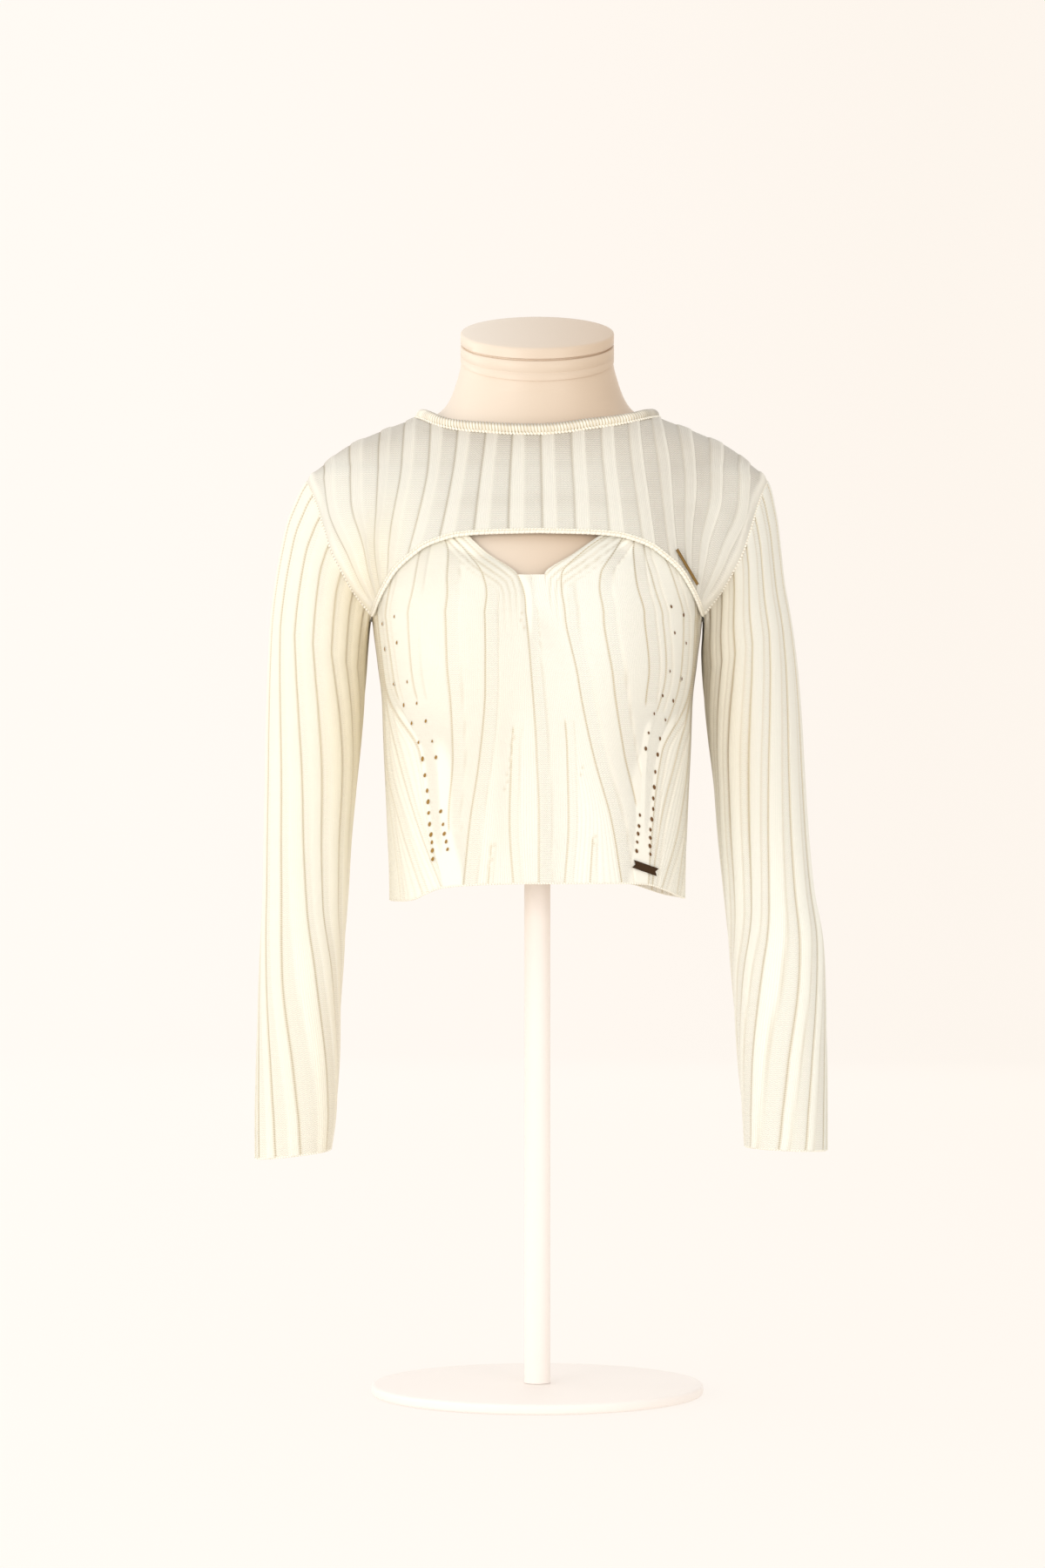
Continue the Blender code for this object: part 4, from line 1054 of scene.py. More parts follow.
def top_end(ribs, place, ends):
    """The height at which each rib meets the upper edge, by halving."""
    low, high = np.full(len(ribs), 640.0), np.full(len(ribs), 735.0)
    for _ in range(24):
        middle = (low + high) / 2
        x = place(ribs, middle[None, :])[0]
        under = middle < curve(ends, np.abs(x))
        low, high = np.where(under, middle, low), np.where(under, high, middle)
    return (low + high) / 2


def top_relief(ribs, x, z, bands):
    """Rib relief of the inner top in mm off the solid's face, and its marks."""
    height = np.full(x.shape, 0.25)
    recess, line, lit = np.zeros(x.shape), np.zeros(x.shape), np.zeros(x.shape)
    for rib, low, high, strength, width, depth in zip(*bands.values()):
        k = np.argmin(np.abs(ribs - rib))
        gap = x - x[:, k:k + 1]
        near = eased(low - 3, low + 3, z) * eased(high + 3, high - 3, z) * (np.abs(ribs - rib) < 1.01)
        beyond = near * (ribs > rib)
        groove = np.exp(-((gap / 0.7) ** 2)) * near * strength * (np.abs(ribs - rib) < 0.5)
        inside = eased(-0.15, 0.5, gap) * eased(width + 0.9, width - 0.9, gap) * near
        corner = np.exp(-(((gap - width) / 0.8) ** 2)) * beyond
        second = np.exp(-(((gap - width + 1.0) / 0.7) ** 2)) * beyond * 0.3
        # Painted shadow lies in each rib's line and in a fainter second line near its band's far edge, and a
        # painted highlight on the band's far corner, stronger on the right; the lines are painted darker high
        # up and on the right.
        line = np.maximum(line, np.maximum(groove, second))
        recess = np.maximum(recess, inside * depth)
        lit = np.maximum(lit, corner * (0.35 + 0.45 * eased(20, 70, x)))
    height = height - 0.4 * recess - 0.55 * line + 0.12 * lit
    line = line * (0.68 + 0.12 * eased(480, 620, z) + 0.2 * eased(20, 70, x))
    return height, {"recess": recess, "line": line, "lit_edge": lit}


def neckband(ribs, x, z):
    """Where the neckline's band of fine ribs lies, and how high its ribs stand, both 0 to 1. The band
    follows each slope of the V and turns down beside its floor."""
    banded, fine = np.zeros(x.shape), np.ones(x.shape)
    for chosen, outline in ((ribs <= V_LEFT + 1e-6, NECK_V_LEFT), (ribs >= V_RIGHT - 1e-6, NECK_V_RIGHT)):
        away = np.full(x.shape, 99.0)
        for (x0, z0), (x1, z1) in zip(outline, outline[1:]):
            run = (x1 - x0, z1 - z0)
            along = ((x - x0) * run[0] + (z - z0) * run[1]) / (run[0] ** 2 + run[1] ** 2)
            along = np.clip(along, 0, 1)
            away = np.minimum(away, np.hypot(x - x0 - along * run[0], z - z0 - along * run[1]))
        strength = eased(628, 700, z) * eased(NECKBAND_WIDTH + 1.0, NECKBAND_WIDTH - 1.0, away)
        banded = np.where(chosen, strength, banded)
        fine = np.where(chosen, 0.5 - 0.5 * np.cos(2 * math.pi * away / NECKBAND_PITCH), fine)
    return banded, fine


def tucks(x, z):
    """The small tucks at the darts' tips: how high each stands and how dark the notch beside it is."""
    raised, notch = np.zeros(x.shape), np.zeros(x.shape)
    for n, (tuck_x, tuck_z) in enumerate(DART_TUCKS):
        lean = 0.8 if n % 2 else -0.8
        raised += np.exp(-(((x - tuck_x + lean) / 1.3) ** 2) - ((z - tuck_z) / 1.8) ** 2)
        notch += np.exp(-(((x - tuck_x - lean) / 1.0) ** 2) - ((z - tuck_z + 1.6) / 1.3) ** 2)
    return np.clip(raised, 0, 1), np.clip(notch, 0, 1)


def knit_top(facing, finish):
    """The inner top's front or back as one ribbed sheet, in a lower patch and one or two upper ones."""
    name = "top_front_knit" if facing < 0 else "top_back_knit"
    hem = HEM_FRONT if facing < 0 else HEM_BACK
    ends = TOP_END_FRONT if facing < 0 else TOP_END_BACK
    place = top_place if facing < 0 else back_place
    offsets = [
        0.0, 0.02, 0.045, 0.08, 0.13, 0.19, 0.26, 0.33,
        0.40, 0.48, 0.58, 0.68, 0.78, 0.87, 0.935, 0.975,
    ]
    whole = around_every(range(-9, 17), offsets, TOP_SIDES)
    # The split between the body and the parts beside the V lies lower towards the sides.
    split = np.interp(whole, [-8, -7, -5, -3, 10, 12, 14, 15], [640, 650, 668, 686, 686, 670, 650, 640])
    low = np.full(len(whole), 420.0)
    for _ in range(12):
        low = curve(hem, place(whole, low[None, :])[0])
    # Stitches are counted round the fullest part, at 600.
    bust_z = np.full((1, len(whole)), 600.0)
    round_at_bust, _ = running_length(skin_points(place(whole, bust_z), bust_z, facing)[0])

    def patch(ribs, bottom, top, rows):
        z = bottom + (top - bottom) * np.linspace(0, 1, rows)[:, None]
        x = place(ribs, z)
        skin = skin_points(x, z, facing)
        height, marks = top_relief(ribs, x, z, TOP_BANDS if facing < 0 else BACK_BANDS)
        if facing < 0:
            banded, fine = neckband(ribs, x, z)
            raised, notch = tucks(x, z)
            height = height + banded * (0.5 * fine - 0.2) + 0.6 * raised - 0.3 * notch
            # Painted shadow lies between the neckband's fine ribs and in each tuck's notch, and a painted
            # highlight on each tuck.
            marks["line"] = np.maximum(marks["line"], banded * (1 - fine) ** 2.5 * 0.5)
            marks["line"] = np.maximum(marks["line"], 0.6 * notch)
            marks["lit_edge"] = np.maximum(marks["lit_edge"], 0.8 * raised)
            marks["recess"] = marks["recess"] * (1 - banded)
        # Painted shade: the cloth is painted a little darker except at its far left edge, and more on the
        # right below 660; the purl bands and lines are greyer high up towards the sides; a painted warm tint,
        # standing in for warmer light and shade, lies at the upper sides and towards the left.
        marks["grey_shadow_line"] = 0.1 + 0.5 * eased(660, 712, z) * eased(45, 60, np.abs(x))
        dim = 0.12 * eased(-130, -105, x) + 0.26 * eased(45, 85, x) * eased(730, 660, z)
        marks["shade"] = dim + marks["recess"] * marks["grey_shadow_line"]
        at_side = eased(0.93, 1.0, np.abs(x) / TOP_SPAN) * eased(560, 640, z)
        marks["painted_warmth"] = 0.12 * at_side + 0.1 * eased(40, -60, x)
        points = skin + outward(skin) * (TOP_OUTER + height)[..., None]
        across = np.interp(ribs, whole, round_at_bust)
        squeeze = np.gradient(across) / np.maximum(np.linalg.norm(np.gradient(skin, axis=1), axis=-1), 0.02)
        marks["calm"] = eased(1.6, 2.8, squeeze)
        stitches = np.stack([np.broadcast_to(across, x.shape), z], axis=-1)
        return {"points": points, "maps": {"Stitches": stitches}, "marks": marks}, skin

    body, skin = patch(whole, low, split, 130)
    # The hem turns in: a rounded edge and a short return inside.
    rows = [
        skin[:1] + outward(skin[:1]) * out + (0, 0, rise)
        for out, rise in ((TOP_INNER + 0.1, 7.0), (TOP_INNER + 0.1, 0.8), (TOP_INNER + 0.7, -0.1),
                          (TOP_OUTER - 0.4, -0.25))
    ]
    patches = [turned_in(body, rows, (-9.0, -3.0, -1.6, -0.8), at_start=True)]
    sides = (whole[whole <= V_LEFT + 1e-6], whole[whole >= V_RIGHT - 1e-6]) if facing < 0 else (whole,)
    for ribs in sides:
        patches.append(patch(ribs, np.interp(ribs, whole, split), top_end(ribs, place, ends), 72)[0])
    return facing_out(sheet_of(name, patches, finish), (0, 5, 560))


# ---- the sleeves -------------------------------------------------------------------------------------
def armhole_edge(side):
    """The yoke's outer armhole edge down the front, under the arm and up the back, as fine points, and
    the row number of the lowest one."""
    runs = []
    for facing in (-1, 1):
        down = np.linspace(0, 1, 46)
        seam_z = SHOULDER_Z + (ARM_FRONT_Z - SHOULDER_Z) * down
        seam_x = curve(ARMHOLE, seam_z, "z", "x") * side
        skin = skin_points(seam_x, seam_z, facing)
        lift = YOKE_OUTER + fold_height(seam_x, seam_z, YOKE_FOLDS if facing < 0 else ())
        runs.append(skin + outward(skin) * lift[:, None])
    front, back = runs
    steps = 16
    z = ARM_FRONT_Z + (UNDERARM_Z - ARM_FRONT_Z) * np.sin(np.linspace(0, math.pi, steps + 1)[1:-1])
    half_width, ahead, behind, centre_y, square = section(z)
    spread = np.linspace(1, -1, steps + 1)[1:-1]
    y = centre_y - spread * np.abs(front[-1, 1] - centre_y) * UNDERARM_REACH
    depth = np.where(spread > 0, ahead, behind)
    x = side * half_width * (1 - (np.abs(y - centre_y) / depth) ** square) ** (1 / square)
    under = np.stack([x, y, z], axis=-1)
    under = under + outward(under) * (YOKE_INNER + SEAM_GAP)
    loop = np.concatenate([front, under, back[::-1][:-1]])
    return loop, len(front) + (steps - 1) // 2


def sleeve_lean(side):
    """The way in which a sleeve leaves its armhole."""
    return np.array([side * math.cos(SLEEVE_LEAN), 0.0, math.sin(SLEEVE_LEAN)])


def sleeve_angles(ribs, z):
    """The angle of each rib line round the sleeve at a height, in degrees."""
    heights = np.array(SLEEVE_HEIGHTS)[::-1]
    rows = {row[0]: np.array(row[1:])[::-1] for row in SLEEVE_RIBS}
    angles = {rib: float(smooth(heights, row, z)) for rib, row in rows.items()}
    shown, last = max(angles), SLEEVE_COUNT - 1
    behind = angles[-1] + 360 - angles[shown]
    for rib in range(shown + 1, last + 1):
        angles[rib] = angles[shown] + behind * (rib - shown) / (last - shown)
    return smooth(list(angles), list(angles.values()), ribs)


def sleeve_surface(side, ribs):
    """Points of the plain sleeve, a row for each level and a column for each rib, with the angle of
    each in radians and the height of each row. It leaves the armhole's edge and takes on its own
    sections on the way down."""
    sections = SLEEVE_LEFT if side < 0 else SLEEVE_RIGHT
    loop, lowest = armhole_edge(side)
    first = loop + sleeve_lean(side) * ARMHOLE_GAP
    inner, outer = first[np.argmin(first[:, 2])], first[np.argmax(first[:, 2])]
    run = (outer - inner) * (1, 0, 1)
    share = np.clip((first - inner) @ run / (run @ run), 0, 1)
    bow = (first - inner - share[:, None] * run) * (1, 0, 1)
    front, back = np.arange(lowest + 1), np.append(np.arange(lowest, len(first)), 0)

    def at_share(values, wanted, ahead):
        """The edge's values at shares of the way out along it, in front where ahead and else behind."""
        found = []
        for part in (front, back):
            order = part[np.argsort(share[part])]
            found.append(np.stack([np.interp(wanted, share[order], values[order, k]) for k in range(3)], -1))
        return np.where(ahead[:, None], *found)

    steps = len(sections["outer_x"])
    level_z = np.append((first[:, 2].max() + first[:, 2].min()) / 2 + 20,
                        (sections["outer_z"] + sections["inner_z"]) / 2)
    levels = np.linspace(0, steps, SLEEVE_ROWS)
    heights = np.interp(levels, np.arange(steps + 1), level_z)
    angles = np.radians([sleeve_angles(ribs, z) for z in heights])
    points = []
    for i, angle in zip(levels, angles):
        wanted, ahead = (1 + np.cos(angle)) / 2, np.sin(angle) >= 0
        edge, bent = at_share(first, wanted, ahead), at_share(bow, wanted, ahead)
        row = {key: through(np.append(v[0] * 2 - v[1], v), np.array([i]))[0] for key, v in sections.items()}
        x = side * (row["inner_x"] + (row["outer_x"] - row["inner_x"]) * wanted)
        z = row["inner_z"] + (row["outer_z"] - row["inner_z"]) * wanted
        turn = (1 - np.abs(2 * wanted - 1) ** SLEEVE_SQUARE) ** (1 / SLEEVE_SQUARE)
        turn = np.where(ahead, -turn, turn)
        y = (row["front_y"] + row["back_y"]) / 2 + (row["back_y"] - row["front_y"]) / 2 * turn
        own = min(i / ARMHOLE_BLEND, 1.0)
        ring = np.stack([x, edge[:, 1] * (1 - own) + y * own, z], axis=-1) + bent * (1 - own)
        near = float(eased(1, 0, i))
        points.append(ring * (1 - near) + edge * near)
    return np.array(points), angles, heights


def sleeve_relief(side, ribs, degrees, z):
    """How far the sleeve's ribs stand off it, and their marks. degrees go round it and z down it."""
    band = np.array([smooth(SLEEVE_HEIGHTS[::-1], SLEEVE_BAND[::-1], height) for height in z[:, 0]])[:, None]
    off = ribs - np.floor(ribs + 1e-6)
    inside = eased(-0.01, 0.05, off) * eased(band + 0.05, band - 0.05, off)
    to_line = np.minimum(off, 1 - off) * SLEEVE_PITCH
    # Towards the body the upper arm's ribs crowd, and the grooves between them turn deep and are painted with
    # brown shade.
    inner = eased(80, 125, degrees) * eased(262, 222, degrees) * eased(400, 500, z)
    lower = eased(560, 380, z)
    groove = np.exp(-((to_line / (0.8 + 0.6 * inner)) ** 2))
    second = np.exp(-(((off - band) * SLEEVE_PITCH / 0.8) ** 2))
    crown = np.sin(math.pi * np.clip((off - band) / (1 - band), 0, 1)) ** 0.8
    # The band's far edge takes a painted highlight on one sleeve and shows as a second thin line of painted
    # shadow on the other.
    if side < 0:
        cut = 0.7 * groove
        line = groove * (0.85 - 0.2 * inner)
        lit = 0.8 * second * lower
        # Painted shade lies in the purl bands, deeper low down, and a painted warm tint towards the body,
        # deepest at the inmost side, where light bounces between the sleeve and the body.
        shade = 0.14 + 0.2 * lower
        dim = 0.0
        inmost = eased(105, 165, degrees) * eased(262, 222, degrees)
        painted_warmth = 0.14 + 0.22 * inner * eased(430, 600, z) + 0.2 * inmost
        brown = 0.55
    else:
        cut = (0.7 + 0.25 * inner) * groove
        line = np.maximum(groove * (0.85 + 0.15 * inner), 0.5 * second)
        lit = 0.15 * second
        # Painted shade lies in the purl bands, deeper low down and on the outer side, the upper sleeve is
        # painted dimmer, and a painted warm tint lies towards the body.
        shade = 0.14 + 0.2 * lower + 0.3 * eased(70, 10, degrees) * lower
        dim = 0.4 * (1 - lower) * eased(-30, 10, degrees)
        painted_warmth = 0.3 * inner * eased(430, 600, z)
        brown = 0.6
    return 0.7 * crown - 0.25 - 0.3 * inside - cut, {
        "recess": inside * 0.8,
        "line": line,
        "lit_edge": lit,
        "shade": inside * 0.8 * shade + dim,
        "grey_shadow_line": np.broadcast_to(shade, inside.shape),
        "brown_groove_shade": brown * inner * eased(420, 560, z) * eased(100, 135, degrees),
        "painted_warmth": painted_warmth,
    }


def knit_sleeve(side, finish):
    """A whole sleeve as one ribbed tube with a turned cuff."""
    name = "sleeve_left_knit" if side < 0 else "sleeve_right_knit"
    offsets = [0.0, 0.03, 0.07, 0.13, 0.21, 0.30, 0.37, 0.44, 0.53, 0.64, 0.76, 0.87, 0.93, 0.97]
    ribs = around_every(range(-2, SLEEVE_COUNT + 1), offsets, (-1, SLEEVE_COUNT - 1))
    points, angles, heights = sleeve_surface(side, ribs)
    around_way = np.gradient(points, axis=1)
    around_way[:, 0] = around_way[:, -1] = points[:, 1] - points[:, -2]
    normal = unit(np.cross(np.gradient(points, axis=0), around_way))
    normal = normal * np.sign(np.sum(normal * (points - points.mean(axis=1, keepdims=True))))
    height, marks = sleeve_relief(side, ribs, np.degrees(angles), heights[:, None])
    points = points + normal * height[..., None]
    down_mm, _ = running_length(points[:, len(ribs) // 4])
    stitches = np.stack(np.broadcast_arrays(ribs * SLEEVE_RIB, -down_mm[:, None]), axis=-1)
    # The cuff turns in.
    turns = ((0.5, -0.3), (1.3, 0.1), (1.9, 1.2), (1.9, 9.0))
    rows = [points[-1:] - normal[-1:] * deep + (0, 0, rise) for deep, rise in turns]
    patch = {"points": points, "maps": {"Stitches": stitches}, "marks": marks}
    patch = turned_in(patch, rows, [-deep - 0.6 for deep, _ in turns])
    # The last column is the first one again.
    for values in (patch["points"], *patch["marks"].values()):
        values[:, -1] = values[:, 0]
    return facing_out(sheet_of(name, [patch], finish), (side * 190, 0, 450))


# ---- tubes along the edges ---------------------------------------------------------------------------
def chain_patch(path, normal, side_way, radii, spacing, closed=False, sides=10, swell=0.16, slant=0.25,
                base=0.25, holes=0.0, girth=1.0, top_shade=0.0, all_shade=0.0, deep=0.0):
    """A linked edge: a tube whose size swells once a stitch, with the swellings slanted round it.
    girth scales the tube at each point of its path, and deep says how brown the painted shadow in its gaps is
    there. radii are its half sizes along normal and side_way."""
    run, total = running_length(path, closed)
    exact = total / max(round(total / spacing), 3)
    turn = np.linspace(0, 1, sides + 1)
    sine, cosine = np.sin(2 * math.pi * turn), np.cos(2 * math.pi * turn)
    girth, all_shade, deep = (np.asarray(value, float).reshape(-1, 1) for value in (girth, all_shade, deep))
    gap = 0.5 - 0.5 * np.cos(2 * math.pi * (run[:, None] / exact + slant * sine))
    size = (1 - swell * gap**1.5) * girth
    rings = (
        path[:, None]
        + (cosine * size * radii[0])[..., None] * normal[:, None]
        + (sine * size * radii[1])[..., None] * side_way[:, None]
    )
    # Painted shadow darkens the gaps between swellings, more on the side away from side_way where holes is
    # given; painted shade lies on the side towards side_way by top_shade and all round by all_shade.
    marks = {
        "line": np.clip(gap**4 * (base + holes * np.clip(-sine, 0, 1)), 0, 1),
        "shade": np.clip(sine, 0, 1) * top_shade + all_shade,
        "deep": deep,
    }
    along = np.append(run, total) if closed else run
    return {
        "points": looped(rings, closed),
        "maps": {"Stitches": np.stack(np.broadcast_arrays(along[:, None], turn[None, :]), axis=-1)},
        "marks": {key: looped(np.broadcast_to(value, gap.shape), closed) for key, value in marks.items()},
    }


def arch_edge(facing, finish):
    """The piped edge under an arch: a cord, a row of loops above it and the folded cloth behind."""
    name = "yoke_edge_front_chain" if facing < 0 else "yoke_edge_back_chain"
    edge, above = yoke_skin_edge(facing, 1.0)
    path, near = evenly(edge, 0.6), evenly(above, 0.6)
    run = np.linspace(0, 1, len(path))
    near = np.stack([np.interp(run, np.linspace(0, 1, len(near)), near[:, k]) for k in range(3)], -1)
    normal = outward(path)
    along = unit(np.gradient(path, axis=0))
    square = unit(np.cross(normal, along))
    square = square * np.sign(np.sum(square * (path - near), axis=-1, keepdims=True))
    # A plump cord along the very edge, and above it a row of small loops with shaded gaps.
    cord = path + normal * EDGE_LIFT + square * (SEAM_GAP + EDGE_WIDTH - CORD_RADIUS)
    loops = path + normal * (EDGE_LIFT + 0.5) + square * (SEAM_GAP + 0.75)
    # The folded cloth that both are worked on closes the gaps behind them, and lies in painted shade.
    fold = path + normal * (EDGE_LIFT - 0.7) + square * (SEAM_GAP + EDGE_WIDTH / 2 - 0.7)
    girth = 0.7 + 0.3 * eased(662, 690, path[:, 2])
    patches = [
        chain_patch(cord, normal, square, (EDGE_THICKNESS * 0.42, CORD_RADIUS), 4.2, swell=0.14, slant=0.08,
                    girth=girth),
        chain_patch(loops, normal, square, (1.1, 0.85), 2.9, sides=8, swell=0.35, slant=0.1, base=0.4,
                    girth=girth, deep=0.1),
        chain_patch(fold, normal, square, (1.1, EDGE_WIDTH / 2 - 0.1), 2.9, swell=0.0, base=0.0,
                    all_shade=0.25),
    ]
    return cap_ends(sheet_of(name, patches, finish))


def neck_path(spacing):
    """The yoke's neck edge as a closed path, with the ways out of the cloth and up to the roll."""
    picks = []
    for facing in (-1, 1):
        points, below = yoke_skin_edge(facing, 0.0)
        inside = np.abs(points[:, 0]) <= NECK_HALF_WIDTH + 0.2
        picks.append((points[inside], below[inside]))
    edge, below = (np.concatenate([front, back[::-1][1:-1]]) for front, back in zip(*picks))
    path = evenly(edge, spacing, closed=True)
    nearest = below[np.argmin(np.linalg.norm(path[:, None] - edge[None], axis=-1), axis=1)]
    normal = outward(path)
    square = unit(np.cross(normal, way_round(path)))
    square = square * np.sign(np.sum(square * (path - nearest), axis=-1, keepdims=True))
    for _ in range(6):
        normal, square = (
            unit(np.roll(way, 1, axis=0) + way * 2 + np.roll(way, -1, axis=0)) for way in (normal, square)
        )
    return path, normal, square


def neck_roll(finish):
    """The rolled neck edge, a plump knitted tube."""
    path, normal, square = neck_path(0.4)
    path = path + normal * (YOKE_INNER + YOKE_OUTER) / 2 + square * (COLLAR_RADIUS + COLLAR_GAP)
    # The roll stands a little taller where it turns round the sides of the neck. Its fine ribs are
    # drawn 2.7 mm apart, a spacing chosen so that they show.
    girth = 1.22 + 0.25 * eased(74, 97, np.abs(path[:, 0]))
    # The roll lies in painted shade over its top, lightly all round and deeply at its right end in front.
    patch = chain_patch(
        path + square * (girth - 1)[:, None] * COLLAR_RADIUS, normal, square, (COLLAR_RADIUS, COLLAR_RADIUS),
        2.7, closed=True, sides=18, swell=0.18, slant=0.3, base=1.0, girth=girth,
        top_shade=1.4, all_shade=0.15 + 0.8 * eased(72, 98, path[:, 0]) * (path[:, 1] < 8),
    )
    return sheet_of("neck_collar_roll", [patch], finish)


def collar_links(finish):
    """The chain of bright stitches at the foot of the rolled neck edge."""
    path, normal, square = neck_path(0.4)
    path = path + normal * (YOKE_OUTER + 0.35) + square * 0.1
    patch = chain_patch(
        path, normal, square, (0.9, 1.4), 2.9, closed=True, sides=8, swell=0.45, slant=0.15, base=0.8,
    )
    return sheet_of("collar_foot_links", [patch], finish)


def armhole_links(side, finish):
    """The linking stitches that show as a row of dots where a sleeve meets the yoke."""
    path = evenly(armhole_edge(side)[0], 0.6, closed=True)
    normal = outward(path)
    square = unit(np.cross(normal, way_round(path)))
    path = path + sleeve_lean(side) * 0.25
    # The links' gaps take painted shadow, browner low down, and the tube behind them lies in painted shade.
    links = chain_patch(
        path, normal, square, (1.0, 1.1), 2.9, closed=True, sides=8, swell=0.32, slant=0.1, base=0.85,
        girth=1 + 0.6 * eased(670, 657, path[:, 2]), deep=0.15 + 0.5 * eased(745, 690, path[:, 2]),
    )
    behind = chain_patch(
        path - normal * 0.5, normal, square, (0.8, 1.1), 2.9, closed=True, sides=8, swell=0.0, base=0.0,
        all_shade=0.6,
    )
    name = "armhole_left_links" if side < 0 else "armhole_right_links"
    return sheet_of(name, [links, behind], finish)


def small_loops(name, path, normal, side_way, finish):
    """A row of small loops along an open edge, one to each column of stitches."""
    patch = chain_patch(
        path, normal, side_way, (1.1, 0.9), 2.35, closed=True, sides=8, swell=0.45, slant=0.12, holes=0.3,
    )
    return sheet_of(name, [patch], finish)


def hem_loops(finish):
    """The row of small loops along the hem, front and back."""
    rounds = []
    for facing, hem in ((-1, HEM_FRONT), (1, HEM_BACK)):
        hem_z = curve(hem, np.linspace(-TOP_SPAN, TOP_SPAN, 500))
        reach = (curve(SKIN, hem_z, "z", "half_width") * 0.9995).mean()
        x = np.sin(np.linspace(-math.pi / 2, math.pi / 2, 600)) * reach
        rounds.append(skin_points(x, curve(hem, x), facing))
    path = evenly(np.concatenate([rounds[0], rounds[1][::-1][1:-1]]), 0.5, closed=True)
    normal = outward(path)
    square = unit(np.cross(normal, way_round(path)))
    return small_loops("hem_loops", path + normal * (TOP_INNER + TOP_OUTER + 0.6) / 2, normal, square, finish)


def cuff_loops(side, finish):
    """The row of small loops round a cuff."""
    turn = np.linspace(0, 2 * math.pi, 401)[:-1]
    share = (1 + np.cos(turn)) / 2
    row = {key: value[-1] for key, value in (SLEEVE_LEFT if side < 0 else SLEEVE_RIGHT).items()}
    x = side * (row["inner_x"] + (row["outer_x"] - row["inner_x"]) * share)
    z = row["inner_z"] + (row["outer_z"] - row["inner_z"]) * share
    deep = (1 - np.abs(2 * share - 1) ** SLEEVE_SQUARE) ** (1 / SLEEVE_SQUARE) * np.sign(np.sin(turn))
    y = (row["front_y"] + row["back_y"]) / 2 - (row["back_y"] - row["front_y"]) / 2 * deep
    path = evenly(np.stack([x, y, z], axis=-1), 0.5, closed=True)
    up = np.array([0, 0, 1.0]) * np.ones((len(path), 1))
    normal = unit(np.cross(way_round(path), up))
    normal = normal * np.sign(np.sum(normal * (path - path.mean(axis=0)), axis=-1, keepdims=True))
    name = "cuff_left_loops" if side < 0 else "cuff_right_loops"
    return small_loops(name, path - normal, normal, up, finish)


# ---- eyelets and plates ------------------------------------------------------------------------------
def skin_frame(x, z, lean):
    """A point of the front skin with the way out of it, and the ways along and across a small thing
    there that leans by an angle from level."""
    base = skin_points(np.array([x]), np.array([z]), -1)
    normal = outward(base)[0]
    level_way = unit(np.cross((0.0, 0.0, 1.0), normal))
    level_way = level_way * np.sign(level_way[0])
    upright = unit(np.cross(normal, level_way))
    upright = upright * np.sign(upright[2])
    along = level_way * math.cos(lean) + upright * math.sin(lean)
    across = upright * math.cos(lean) - level_way * math.sin(lean)
    return base[0], normal, along, across


def eyelets(hole_finish, rim_finish):
    """Small slanted holes: a shaded oval and a ring of yarn round each."""
    spots = [(x, z, name) for name, row in EYELETS.items() for x, z in row]
    turn, rim_turn = np.linspace(0, 2 * math.pi, 17), np.linspace(0, 2 * math.pi, 9)
    holes, rims = [], []
    for n, (x, z, name) in enumerate(spots):
        # No two holes are quite alike in lean and size.
        lean = math.radians(58 if x < 0 else 122) + math.radians((n * 37 % 23) - 11)
        base, normal, long_way, wide_way = skin_frame(x, z, lean)
        base = base + normal * (TOP_OUTER + 0.1)
        big = 1.0 + 0.12 * math.sin(n * 2.3)
        big = big * (1.15 if z < 545 else 1.0) * (1.0 if "outer" in name else 0.88)
        oval = (np.cos(turn)[:, None] * long_way * 1.75 + np.sin(turn)[:, None] * wide_way * 1.25) * big
        rings = [
            base + normal * (0.42 - sunk) + oval * share
            for share, sunk in ((1.0, 0.0), (0.7, 0.05), (0.35, 0.08), (0.001, 0.1))
        ]
        # Painted shade inside each hole deepens towards the right, where less light falls.
        holes.append({"points": np.array(rings), "marks": {"deep": float(eased(-70, 70, x))}})
        tube = (
            base + normal * 0.35 + oval[:, None] * 1.12
            + np.cos(rim_turn)[None, :, None] * unit(oval)[:, None] * 0.3
            + np.sin(rim_turn)[None, :, None] * normal * 0.3
        )
        maps = np.stack(np.broadcast_arrays(turn[:, None] * 1.2, rim_turn[None, :] / (2 * math.pi)), axis=-1)
        # The rings lie in painted shade.
        rims.append({"points": tube, "maps": {"Stitches": maps}, "marks": {"shade": 0.45}})
    return sheet_of("eyelet_holes", holes, hole_finish), sheet_of("eyelet_rims", rims, rim_finish)


